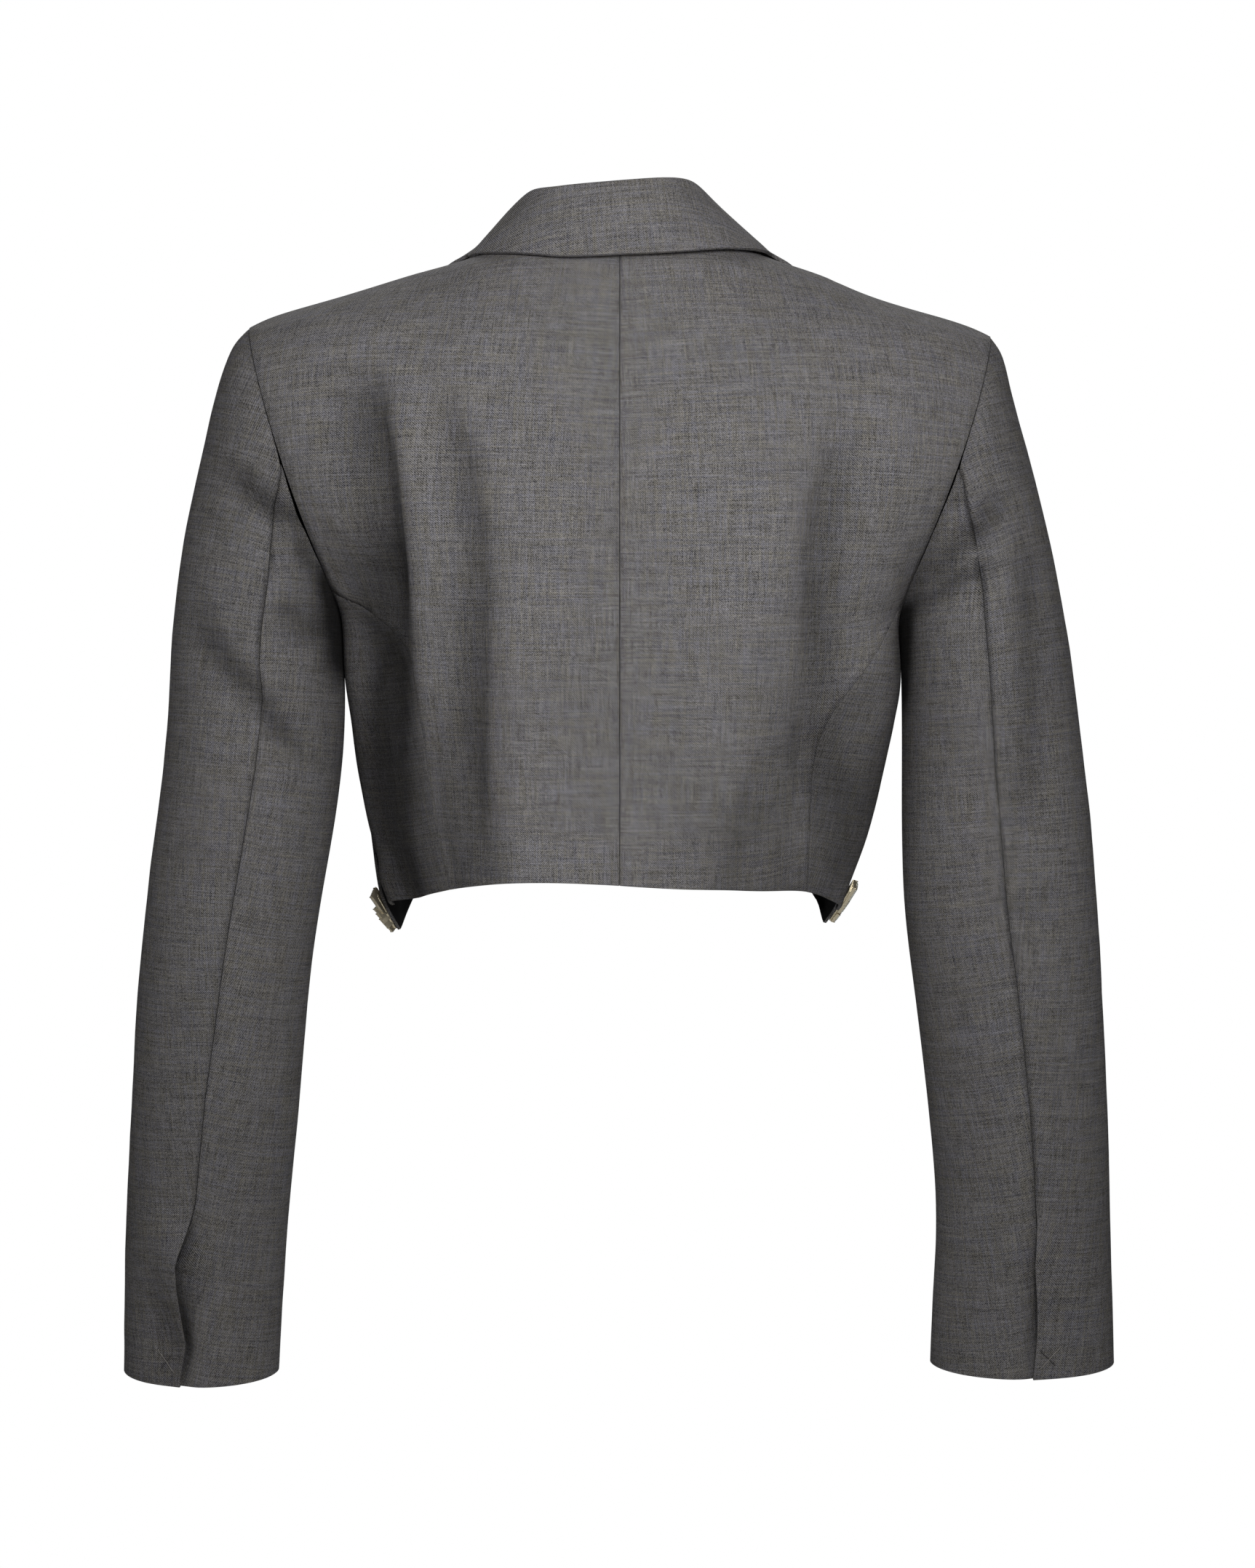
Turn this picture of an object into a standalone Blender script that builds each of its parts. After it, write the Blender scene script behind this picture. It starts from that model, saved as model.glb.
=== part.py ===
"""Cropped blazer in its worn, hollow form: back, side and front panels, lapels, collar, two-piece sleeves with
cuff vents, jewelled hem points and one button. Z is up, the back faces +Y and +X is the wearer's left side.
The origin lies between the shoulder seams, level with the side of the neck. Sizes are in millimetres."""
from bisect import bisect_right
from collections import namedtuple
from math import acos, atan2, cos, degrees, exp, pi, radians, sin

import bmesh
import bpy
from mathutils import Matrix, Vector

for item in list(bpy.data.objects):
    bpy.data.objects.remove(item, do_unlink=True)

# Driving sizes
MM = 0.001
CLOTH = 2.0
SEAM_GAP = 0.3
SHOULDER_TIP_X, SHOULDER_TIP_Z = 210.0, -42.0
UNDERARM_X, UNDERARM_Z = 156.0, -200.0
ARMHOLE_DEPTH = 58.0
ARMHOLE_BOW_BACK, ARMHOLE_BOW_FRONT = 5.0, -5.0
ARMHOLE_STEP = 15
UNDERARM_EASE = 5.0
SIDE_PANEL_FROM, SIDE_PANEL_TO = 150, 210
BACK_NECK_LIFT = 8.0
FRONT_NECK_DROP = 42.0
LEFT, RIGHT = 1, -1
SIDES = {"left": LEFT, "right": RIGHT}

# Uneven set as worn: left shoulder up and right one down, right half of the hem down, right cuff up,
# right side eased out over the waist and taken in at the hem
SHOULDER_SET = 2.5
HEM_SET = 1.9
CUFF_SET = 4.5
SIDE_EASE = 4.0
SIDE_TAKE_IN = 2.4

# Level sections of the figure: half width at the side or shoulder line, depth to the back and to the front,
# and how square the back and front halves are
Ring = namedtuple("Ring", "z half_width back front back_square front_square")
RINGS = (
    Ring(-395.0, 119.0, 93.0, 97.0, 2.10, 2.30),
    Ring(-368.0, 128.0, 92.0, 98.0, 2.10, 2.30),
    Ring(-348.0, 135.6, 92.0, 99.0, 2.12, 2.30),
    Ring(-332.0, 141.0, 92.5, 101.0, 2.15, 2.30),
    Ring(-299.0, 148.0, 95.0, 106.0, 2.25, 2.30),
    Ring(-266.0, 152.5, 99.0, 113.0, 2.40, 2.35),
    Ring(-241.0, 154.5, 103.0, 118.0, 2.52, 2.40),
    Ring(-200.0, 156.0, 108.0, 124.0, 2.65, 2.45),
    Ring(-160.0, 178.0, 111.0, 124.0, 2.70, 2.50),
    Ring(-121.0, 204.0, 110.0, 115.0, 2.60, 2.50),
    Ring(-80.0, 214.0, 104.0, 99.0, 2.30, 2.25),
    Ring(-42.0, 210.0, 92.0, 79.0, 1.75, 1.75),
    Ring(-35.0, 195.0, 89.0, 74.0, 1.70, 1.70),
    Ring(-27.0, 167.0, 85.0, 68.0, 1.75, 1.75),
    Ring(-18.5, 139.0, 81.0, 62.0, 1.85, 1.85),
    Ring(-10.0, 117.0, 77.0, 55.0, 1.95, 1.95),
    Ring(0.0, 82.0, 70.0, 46.0, 2.10, 2.10),
    Ring(12.0, 70.0, 63.0, 40.0, 2.20, 2.20),
)
SHOULDER_LEVELS = (-37.0, -32.0, -27.0, -21.5, -16.0, -10.5, -5.0, 0.0)

# Seam between back and side panel, by height
SideBack = namedtuple("SideBack", "z left right")
SIDE_BACK = (
    SideBack(-356.0, 103.5, 111.0),
    SideBack(-327.0, 110.5, 112.5),
    SideBack(-300.0, 113.5, 115.5),
    SideBack(-266.0, 116.0, 121.0),
    SideBack(-247.0, 118.5, 129.0),
    SideBack(-230.0, 123.5, 139.0),
    SideBack(-215.0, 134.0, 146.0),
    SideBack(-203.0, 146.0, 152.5),
)
SIDE_FRONT_BEARING = 98.0

# Hem height round the back and side panels, by bearing from the centre back
Hem = namedtuple("Hem", "bearing z")
BACK_HEM = (Hem(0, -354.0), Hem(34, -354.6), Hem(48, -356.4), Hem(75, -362.8), Hem(90, -367.0), Hem(98, -369.0))

# Hem height of a front, by share of its width: down to the point, then cut away up to the closing edge
FrontHem = namedtuple("FrontHem", "share left right")
FRONT_HEM = (
    FrontHem(0.0, -360.5, -357.5),
    FrontHem(0.0375, -372.0, -364.5),
    FrontHem(0.075, -381.0, -371.0),
    FrontHem(0.11, -377.0, -376.0),
    FrontHem(0.22, -362.5, -364.0),
    FrontHem(0.5, -326.0, -326.0),
    FrontHem(0.85, -277.0, -277.0),
    FrontHem(1.0, -262.0, -262.0),
)
FRONT_SHARES = (0.0, 0.0375, 0.075, 0.11, 0.165, 0.24, 0.34, 0.45, 0.56, 0.67, 0.78, 0.89, 1.0)
HEM_FLARE = {"left": 8.5, "right": 1.5}
OVERLAP_X = -18.0
BREAK_Z = -250.0
ROLL_SLOPE = 0.2815
OVERLAP_OUT = 5.6

# Outer edge of a lapel, by share of the roll line from the break upward
LapelEdge = namedtuple("LapelEdge", "share x z")
LAPEL_EDGE = (
    LapelEdge(0.0, -12.0, -249.0),
    LapelEdge(0.25, 25.0, -206.0),
    LapelEdge(0.5, 64.0, -160.0),
    LapelEdge(0.75, 98.0, -113.0),
    LapelEdge(1.0, 121.0, -71.0),
)
LAPEL_TOP_Z = -41.0
LAPEL_CLEAR = 0.5
LAPEL_ROLL = 2.6

# Collar by bearing round the neck: top fold, then the fall's edge by bearing, height and distance off the body
Neck = namedtuple("Neck", "bearing fold_x fold_y fold_z edge_bearing edge_z edge_out")
NECK = (
    Neck(0.0, 0.0, 60.0, 37.0, 0.0, -6.5, 6.0),
    Neck(22.0, 25.0, 56.0, 37.2, 23.0, -6.0, 6.0),
    Neck(45.0, 41.0, 42.0, 36.5, 46.0, -3.5, 5.0),
    Neck(68.0, 50.5, 21.0, 30.5, 69.0, -1.5, 4.5),
    Neck(90.0, 57.0, 1.0, 22.5, 90.0, -1.0, 4.2),
    Neck(110.0, 57.5, -24.0, 9.5, 107.0, -12.0, 4.2),
    Neck(130.0, 52.0, -49.0, -10.0, 118.0, -29.0, 4.2),
    Neck(150.0, 39.5, -68.0, -33.0, 124.0, -42.0, 4.2),
)
COLLAR_TILT = 0.08
COLLAR_SHIFT = 3.6
FOLD_RADIUS = 2.2

# Front end of the collar, from the roll line down the gorge to the notch and up to the collar's point
Gorge = namedtuple("Gorge", "share x z")
GORGE = (Gorge(0.25, 52.0, -44.2), Gorge(0.5, 67.0, -49.8), Gorge(0.75, 82.0, -55.4), Gorge(1.0, 105.0, -44.0))

# Sleeve sections from the armhole to the cuff: outermost and innermost point, middle and depth front to back,
# and the elbow seam's angle (0 outside, 90 behind, 180 inside)
Section = namedtuple("Section", "station outer_z inner_z outer_left inner_left outer_right inner_right "
                                "y_mid half_depth elbow_left elbow_right")
SLEEVE = (
    Section(0, -42, -200, 210.3, 156.3, 210.3, 156.3, 0, 58.0, 90, 90),
    Section(1, -52, -204, 219.5, 156.6, 217.0, 156.7, 0, 60.5, 96, 90),
    Section(2, -80, -209, 229.5, 156.5, 223.5, 157.0, 0, 63.0, 98, 93),
    Section(3, -115, -215, 238.0, 156.3, 233.0, 157.4, 0, 64.5, 98, 94),
    Section(4, -152, -223, 246.0, 156.0, 242.0, 158.0, 1, 65.0, 97, 93),
    Section(5, -186, -233, 251.5, 155.5, 249.0, 158.6, 2, 65.0, 96, 92),
    Section(6, -222, -247, 254.5, 154.8, 255.0, 158.9, 3, 64.5, 95, 91),
    Section(7, -262, -272, 256.0, 155.3, 260.0, 159.0, 4, 63.0, 94, 90),
    Section(8, -315, -315, 262.0, 160.0, 266.5, 158.8, 4, 60.0, 93, 89),
    Section(9, -365, -362, 268.5, 168.5, 270.5, 160.0, 1, 57.0, 93, 89),
    Section(10, -415, -413, 274.0, 176.0, 274.0, 166.3, -6, 53.5, 92, 88),
    Section(11, -481, -481, 278.5, 182.0, 278.0, 175.0, -18, 49.0, 86, 86),
    Section(12, -547, -547, 282.7, 189.3, 280.7, 180.5, -31, 45.0, 80, 85),
    Section(13, -599, -599, 284.6, 193.0, 283.0, 178.5, -41, 43.0, 77, 83),
    Section(14, -634, -634, 285.5, 195.5, 284.5, 177.5, -48, 42.0, 75, 82),
)
STATIONS = (0, 0.5, 1, 1.5, 2, 3, 4, 5, 6, 7, 7.5, 8, 8.5, 9, 9.5, 10, 10.5, 11, 11.5, 12, 12.4, 13, 13.5, 14)
FRONT_SEAM = 255.0
VENT_STATION = 12
VENT_UNDERLAY = (-26.0, -13.0)
VENT_TUCK = 2.9
VENT_GAPE = 2.0
CUFF_DIP = 7.0

# Largest folds as seen from behind: a soft trough or ridge from one point to another
Fold = namedtuple("Fold", "x0 z0 x1 z1 depth width")
BACK_FOLDS = (
    Fold(143, -70, 124, -160, -6.0, 15),
    Fold(124, -160, 116, -285, -5.0, 14),
    Fold(-116, -110, -113, -290, -3.5, 17),
    Fold(72, -100, 88, -300, -1.6, 16),
)
SLEEVE_FOLDS = (
    Fold(232, -112, 190, -148, -5.0, 12),
    Fold(236, -212, 178, -282, -4.5, 13),
    Fold(-182, -190, -208, -142, -5.0, 11),
    Fold(-190, -205, -232, -165, -3.0, 13),
    Fold(-246, -262, -205, -330, -2.5, 16),
)

# Jewelled band on the hem of a front: stone lengths in order from the side seam to the point
STONES = (10.5, 3.4, 3.4, 3.4, 3.4)
STONE_GAP = 0.7
STONE_HEIGHT = 4.2
BAND_HEIGHT = 1.3
BAND_WIDTH = 6.5
BAND_CLEAR = 0.3
STONE_BEVEL = 0.8

# Button
BUTTON_RADIUS = 10.0
BUTTON_Z = -254.0

WOOL = (0.14, 0.135, 0.137)
WOOL_DARK = (0.10, 0.097, 0.099)
HORN = (0.03, 0.028, 0.027)
GLASS = (0.75, 0.8, 0.8)


def along(rows, at, column):
    """A column's value at a place along the table's first column, on a smooth curve through its rows."""
    keys = [row[0] for row in rows]
    values = [getattr(row, column) for row in rows]
    if at <= keys[0]:
        return values[0]
    if at >= keys[-1]:
        return values[-1]
    rates = [(values[k + 1] - values[k]) / (keys[k + 1] - keys[k]) for k in range(len(rows) - 1)]

    def slope(k):
        if k == 0 or k == len(rows) - 1:
            return rates[min(k, len(rates) - 1)]
        before, after = rates[k - 1], rates[k]
        return 0.0 if before * after <= 0 else 2 * before * after / (before + after)

    k = bisect_right(keys, at) - 1
    span = keys[k + 1] - keys[k]
    f = (at - keys[k]) / span
    start, end = values[k], values[k + 1]
    bend = f * (1 - f) * span * (slope(k) * (1 - f) - slope(k + 1) * f)
    return start + (end - start) * f * f * (3 - 2 * f) + bend


def mix(a, b, f):
    return a + (b - a) * f


def ease(f):
    f = min(max(f, 0.0), 1.0)
    return f * f * (3 - 2 * f)


Spot = namedtuple("Spot", "point outward")


# Armhole loop and figure
def armhole(phi):
    """Point of the armhole seam at an angle: 0 shoulder tip, 90 back, 180 underarm, 270 front."""
    c, s = cos(radians(phi)), sin(radians(phi))
    bow = ARMHOLE_BOW_BACK if s > 0 else ARMHOLE_BOW_FRONT
    x = (SHOULDER_TIP_X + UNDERARM_X + (SHOULDER_TIP_X - UNDERARM_X) * c) / 2 + bow * s * s
    z = (SHOULDER_TIP_Z + UNDERARM_Z + (SHOULDER_TIP_Z - UNDERARM_Z) * c) / 2
    return Vector((x, ARMHOLE_DEPTH * s, z))


def armhole_away(phi):
    """Direction from the middle of the armhole loop to its seam."""
    middle = (armhole(0) + armhole(180)) / 2
    return (armhole(phi) - middle).normalized()


def half_width(z, back, depth, power):
    """Half width of a level section; between shoulder tip and underarm it carries the armhole seam."""
    if not UNDERARM_Z < z < SHOULDER_TIP_Z:
        return along(RINGS, z, "half_width")
    middle, half = (SHOULDER_TIP_Z + UNDERARM_Z) / 2, (SHOULDER_TIP_Z - UNDERARM_Z) / 2
    phi = degrees(acos((z - middle) / half))
    edge = armhole(phi if back else 360 - phi)
    return edge.x / (1 - (abs(edge.y) / depth) ** power) ** (1 / power)


def form(bearing, z):
    """Point of the figure at a bearing (0 centre back, 90 side, 180 centre front) and height."""
    s, c = sin(radians(bearing)), cos(radians(bearing))
    half = "back" if c >= 0 else "front"
    depth, power = along(RINGS, z, half), along(RINGS, z, half + "_square")
    width = half_width(z, c >= 0, depth, power)
    width += UNDERARM_EASE * exp(-((z - UNDERARM_Z) / 20) ** 2) * ease((abs(bearing - 90) - 6) / 26)
    reach = (abs(s / width) ** power + abs(c / depth) ** power) ** (-1 / power)
    return Vector((reach * s, reach * c, z))


def front_bearing(x, z):
    depth, power = along(RINGS, z, "front"), along(RINGS, z, "front_square")
    width = half_width(z, False, depth, power)
    return degrees(atan2(x, -depth * (1 - (abs(x) / width) ** power) ** (1 / power))) % 360


def back_bearing(x, z):
    depth, power = along(RINGS, z, "back"), along(RINGS, z, "back_square")
    width = half_width(z, True, depth, power)
    return degrees(atan2(x, depth * (1 - (x / width) ** power) ** (1 / power)))


def fold_depth(folds, x, z):
    """Sum of the troughs and ridges at a place seen from behind."""
    total = 0.0
    for fold in folds:
        run = Vector((fold.x1 - fold.x0, fold.z1 - fold.z0))
        here = Vector((x - fold.x0, z - fold.z0))
        share = here.dot(run) / run.length_squared
        aside = abs(here.x * run.y - here.y * run.x) / run.length
        fade = ease((share + 0.2) / 0.4) * ease((1.2 - share) / 0.4)
        total += fold.depth * exp(-(aside / fold.width) ** 2) * fade
    return total


def body(side, bearing, z, out=0.0):
    """Spot of the worn body surface, moved out by a distance."""
    across = form(bearing + 0.3, z) - form(bearing - 0.3, z)
    upward = form(bearing, z + 0.4) - form(bearing, z - 0.4)
    outward = upward.cross(across).normalized()
    point = form(bearing, z)
    if bearing < 90:
        out += fold_depth(BACK_FOLDS, side * point.x, z) * ease((88 - bearing) / 20)
    if side == RIGHT:
        waist = exp(-((z + 250) / 32) ** 2) * ease((-204 - z) / 16)
        out += (SIDE_EASE * waist - SIDE_TAKE_IN * ease((-315 - z) / 25)) * exp(-((bearing - 90) / 32) ** 2)
    point = point + outward * out
    return Spot(Vector((side * point.x, point.y, point.z)), Vector((side * outward.x, outward.y, outward.z)))


def mirrored(side, vector):
    return Vector((side * vector.x, vector.y, vector.z))


def mitre(phi, outward):
    """Edge direction at the armhole: shared by body and sleeve over the shoulder, each one's own below."""
    share = ease(cos(radians(phi)) / 0.5)
    return (outward * (1 - share) + armhole_away(phi) * share).normalized()


def on_armhole(side, phi):
    edge = armhole(phi)
    own = body(LEFT, degrees(atan2(edge.x, edge.y)), edge.z).outward
    return Spot(mirrored(side, edge), mirrored(side, mitre(phi, own)))


# Cloth walls
def material(name, colour, rough=0.85, clear=0.0):
    made = bpy.data.materials.new(name)
    made.use_nodes = True
    shader = made.node_tree.nodes["Principled BSDF"]
    shader.inputs["Base Color"].default_value = (*colour, 1.0)
    shader.inputs["Roughness"].default_value = rough
    shader.inputs["Transmission Weight"].default_value = clear
    return made


def worn(point):
    """A point moved by the jacket's uneven set at the shoulders, hem and right cuff."""
    x, z = point.x, point.z
    lift = SHOULDER_SET * ease((abs(x) - 100) / 45) * ease((z + 170) / 90) * (1 if x > 0 else -1)
    lift += HEM_SET * (2 * ease((x + 45) / 90) - 1) * ease((-290 - z) / 50) * ease((150 - abs(x)) / 20)
    if x < 0:
        lift += CUFF_SET * ease((-560 - z) / 70)
    return Vector((x, point.y, z + lift))


def add_solid(name, corners, faces, look):
    """One closed body from points in millimetres, facing out."""
    mesh = bpy.data.meshes.new(name)
    mesh.from_pydata([worn(corner) * MM for corner in corners], [], faces)
    shell = bmesh.new()
    shell.from_mesh(mesh)
    bmesh.ops.recalc_face_normals(shell, faces=shell.faces)
    if shell.calc_volume(signed=True) < 0:
        bmesh.ops.reverse_faces(shell, faces=shell.faces)
    shell.to_mesh(mesh)
    shell.free()
    mesh.materials.append(look)
    thing = bpy.data.objects.new(name, mesh)
    bpy.context.collection.objects.link(thing)
    return thing


def wall(name, spots, look, seams=(), cells=None, thickness=CLOTH):
    """Closed wall from a grid of outer spots; sides that meet another piece are drawn back by half a gap."""
    rows, columns = len(spots), len(spots[0])
    points = [[spot.point.copy() for spot in row] for row in spots]

    def draw_back(places, neighbours):
        for (i, j), (k, m) in zip(places, neighbours):
            points[i][j] += (spots[k][m].point - spots[i][j].point).normalized() * SEAM_GAP / 2

    if "bottom" in seams:
        draw_back([(0, j) for j in range(columns)], [(1, j) for j in range(columns)])
    if "top" in seams:
        draw_back([(rows - 1, j) for j in range(columns)], [(rows - 2, j) for j in range(columns)])
    if "left" in seams:
        draw_back([(i, 0) for i in range(rows)], [(i, 1) for i in range(rows)])
    if "right" in seams:
        draw_back([(i, columns - 1) for i in range(rows)], [(i, columns - 2) for i in range(rows)])

    kept = cells or {(i, j) for i in range(rows - 1) for j in range(columns - 1)}
    corners, numbers = [], {}

    def number(i, j, inner):
        if (i, j, inner) not in numbers:
            numbers[i, j, inner] = len(corners)
            corners.append(points[i][j] - spots[i][j].outward * (thickness if inner else 0.0))
        return numbers[i, j, inner]

    faces = []
    for i, j in sorted(kept):
        ring = [(i, j), (i, j + 1), (i + 1, j + 1), (i + 1, j)]
        first = (points[i][j] - points[i + 1][j + 1]).length
        second = (points[i][j + 1] - points[i + 1][j]).length
        halves = ((0, 1, 2), (0, 2, 3)) if first < second else ((1, 2, 3), (1, 3, 0))
        for half in halves:
            faces.append([number(*ring[k], False) for k in half])
            faces.append([number(*ring[k], True) for k in reversed(half)])
        beside = [(i - 1, j), (i, j + 1), (i + 1, j), (i, j - 1)]
        for k in range(4):
            if beside[k] not in kept:
                low, high = sorted((ring[k], ring[(k + 1) % 4]), key=lambda at: points[at[0]][at[1]].z)
                faces.append([number(*low, False), number(*high, False), number(*high, True)])
                faces.append([number(*low, False), number(*high, True), number(*low, True)])
    return add_solid(name, corners, faces, look)


# Rows shared by the panels: hem to the armhole corner, up the armhole, along the shoulder
LOWER_SHARES = (0.0, 0.13, 0.26, 0.39, 0.51, 0.62, 0.71, 0.79, 0.86, 0.93, 1.0)
BACK_COLUMNS = [j / 9 for j in range(10)]
BACK_CORNER = armhole(SIDE_PANEL_FROM)
FRONT_CORNER = armhole(SIDE_PANEL_TO)
UPPER_ANGLES = range(SIDE_PANEL_FROM - ARMHOLE_STEP, -1, -ARMHOLE_STEP)


def side_name(side):
    return "left" if side == LEFT else "right"


def side_back_bearing(side, z):
    corner = SideBack(BACK_CORNER.z, BACK_CORNER.x, BACK_CORNER.x)
    x = along(SIDE_BACK + (corner,), z, side_name(side))
    return back_bearing(x, z)


def side_front_bearing(z):
    top = degrees(atan2(FRONT_CORNER.x, FRONT_CORNER.y))
    return mix(SIDE_FRONT_BEARING, top, ease((z + 360) / (FRONT_CORNER.z + 360)))


def roll_x(z):
    return OVERLAP_X + max(z - BREAK_Z, 0.0) * ROLL_SLOPE


def back_neck(share, level):
    return BACK_NECK_LIFT * ease((level - SHOULDER_TIP_Z) / -SHOULDER_TIP_Z) * cos(share * pi / 2) ** 2


def back_rows(side):
    """Grid of the back panel: centre back to side seam, armhole and shoulder."""
    rows = []
    hem_seam = side_back_bearing(side, along(BACK_HEM, 54, "z"))
    for f in LOWER_SHARES:
        row = []
        for c in BACK_COLUMNS:
            hem = along(BACK_HEM, hem_seam * c, "z")
            z = mix(hem, BACK_CORNER.z, f)
            row.append(body(side, side_back_bearing(side, z) * c, z))
        rows.append(row)
    rows[-1][-1] = on_armhole(side, SIDE_PANEL_FROM)
    for phi in UPPER_ANGLES:
        edge = armhole(phi)
        turn = degrees(atan2(edge.x, edge.y))
        rows.append([body(side, turn * c, edge.z) for c in BACK_COLUMNS])
        rows[-1][-1] = on_armhole(side, phi)
    for level in SHOULDER_LEVELS:
        rows.append([body(side, 90 * c, level + back_neck(c, level)) for c in BACK_COLUMNS])
    return rows


def side_rows(side):
    """Grid of the side panel, from the side-back seam round to the side-front seam."""
    steps = range(SIDE_PANEL_FROM, SIDE_PANEL_TO + 1, ARMHOLE_STEP)
    tops = [armhole(phi) for phi in steps]
    low = side_back_bearing(side, along(BACK_HEM, 54, "z"))
    rows = []
    for f in LOWER_SHARES:
        row = []
        for k, top in enumerate(tops):
            c = k / (len(tops) - 1)
            z = mix(along(BACK_HEM, mix(low, SIDE_FRONT_BEARING, c), "z"), top.z, f)
            level_turn = mix(side_back_bearing(side, z), side_front_bearing(z), c)
            top_turn = degrees(atan2(top.x, top.y))
            inner = 0 < k < len(tops) - 1
            row.append(body(side, mix(level_turn, top_turn, f ** 3) if inner else level_turn, z))
        rows.append(row)
    rows[-1] = [on_armhole(side, phi) for phi in steps]
    return rows


def overlap_out(side, x, z):
    """How far the upper front lies out over the lower one near the closing edge."""
    if side == LEFT:
        return 0.0
    return OVERLAP_OUT * ease((52 - x) / 32) * ease((-125 - z) / 55)


def front_low(side, c, f, out=0.0):
    """Spot of a front below the armhole, by share of its width and of its height over the hem."""
    z = mix(along(FRONT_HEM, c, side_name(side)), FRONT_CORNER.z, f)
    turn = mix(side_front_bearing(z), front_bearing(roll_x(z), z), c)
    flare = HEM_FLARE[side_name(side)] * ease((0.2 - f) / 0.17) * ease((0.36 - c) / 0.24)
    return body(side, turn, z, out + flare + overlap_out(side, form(turn, z).x, z))


def front_rows(side):
    """Grid of a front: side seam, armhole and shoulder to the closing edge, roll line and neck."""
    rows = [[front_low(side, c, f) for c in FRONT_SHARES] for f in LOWER_SHARES]
    rows[-1][0] = on_armhole(side, SIDE_PANEL_TO)

    def upper(level, turn):
        sag = FRONT_NECK_DROP * (max(level + 150, 0.0) / 150) ** 1.5
        low = level - sag
        row = []
        for c in FRONT_SHARES:
            z = level - sag * c ** 1.5
            bearing = mix(turn, front_bearing(roll_x(low), low), c)
            row.append(body(side, bearing, z, overlap_out(side, form(bearing, z).x, z)))
        return row

    for phi in UPPER_ANGLES:
        edge = armhole(360 - phi)
        rows.append(upper(edge.z, degrees(atan2(edge.x, edge.y))))
        rows[-1][0] = on_armhole(side, 360 - phi)
    for level in SHOULDER_LEVELS:
        rows.append(upper(level, 90.0))
    return rows


wool = material("wool", WOOL)
wool_dark = material("wool_under", WOOL_DARK)

BACK, FRONT = {}, {}
for name, side in SIDES.items():
    BACK[side], FRONT[side] = back_rows(side), front_rows(side)
    wall("back_" + name, BACK[side], wool, ("left", "right"))
    wall("side_" + name, side_rows(side), wool_dark, ("left", "right"))
    wall("front_" + name, FRONT[side], wool, ("left",))


# Lapels: laid on the fronts, from the roll line out to the edge
def front_at(side, x, z, out):
    return body(side, front_bearing(x, z), z, out + overlap_out(side, x, z))


def lapel_rows(side):
    rows = []
    for v in [k / 12 for k in range(13)]:
        roll_z = mix(BREAK_Z + 3, LAPEL_TOP_Z, v)
        edge_x, edge_z = along(LAPEL_EDGE, v, "x"), along(LAPEL_EDGE, v, "z")
        row = []
        for u in (0.0, 0.08, 0.2, 0.36, 0.54, 0.76, 1.0):
            x = mix(roll_x(roll_z), edge_x, u)
            z = mix(roll_z, edge_z, u)
            roll = LAPEL_ROLL * sin(pi * min(u / 0.4, 1.0)) * ease((z + 190) / 60)
            row.append(front_at(side, x, z, LAPEL_CLEAR + CLOTH + roll))
        rows.append(row)
    return rows


for name, side in SIDES.items():
    wall("lapel_" + name, lapel_rows(side), wool)


# Collar: stand and fall round the neck, folded over at the top
def clear_of_body(point, gap):
    """A point pushed straight out until it clears the body by a gap."""
    if point.z > -1.0:
        return point
    reach = form(degrees(atan2(abs(point.x), point.y)), point.z).xy.length
    wanted = max(point.xy.length, reach + gap)
    return Vector((*(point.xy * wanted / point.xy.length), point.z))


def collar_section(side, top, below, end):
    """Closed section through the collar over one point of the neck edge."""
    bearing = degrees(atan2(abs(top.point.x), top.point.y))
    fold = Vector((side * along(NECK, bearing, "fold_x"), along(NECK, bearing, "fold_y"),
                   along(NECK, bearing, "fold_z")))
    fold.x += COLLAR_SHIFT * ease(fold.z / 25)
    edge = body(side, along(NECK, bearing, "edge_bearing"), along(NECK, bearing, "edge_z"),
                along(NECK, bearing, "edge_out")).point
    fold.z -= COLLAR_TILT * fold.x * ease((58 - abs(fold.x)) / 25)
    upward = (top.point - below.point).normalized()
    base = top.point + upward * SEAM_GAP - top.outward * CLOTH / 2
    down_in, down_out = (base - fold).normalized(), (edge - fold).normalized()
    rise = -(down_in + down_out).normalized()
    aside = (top.outward - rise * top.outward.dot(rise)).normalized()
    heart = fold - rise * FOLD_RADIUS
    turn = [heart + (aside * -cos(radians(a)) + rise * sin(radians(a))) * FOLD_RADIUS for a in range(0, 181, 45)]
    stand = [mix(base, turn[0], f) for f in (0.0, 0.35, 0.7)]
    fall = []
    for cut in GORGE:
        out = along(NECK, bearing, "edge_out")
        point = clear_of_body(mix(turn[-1], edge, cut.share), out)
        fall.append(mix(point, front_at(side, cut.x, cut.z, out).point, end))
    line = stand + turn + fall
    across = rise.cross(aside)
    faces = []
    for k, point in enumerate(line):
        run = line[min(k + 1, len(line) - 1)] - line[max(k - 1, 0)]
        faces.append(run.cross(across).normalized() * CLOTH / 2)
    faces[0] = top.outward * CLOTH / 2 * (1 if faces[1].dot(top.outward) > 0 else -1)
    return [p + o for p, o in zip(line, faces)] + [p - o for p, o in reversed(list(zip(line, faces)))]


def neck_spots(side):
    back, front = BACK[side], FRONT[side]
    edge = [(back[-1][j], back[-2][j]) for j in range(len(BACK_COLUMNS))]
    edge += [(front[-1][j], front[-2][j]) for j in range(1, len(FRONT_SHARES))]
    return edge


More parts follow.
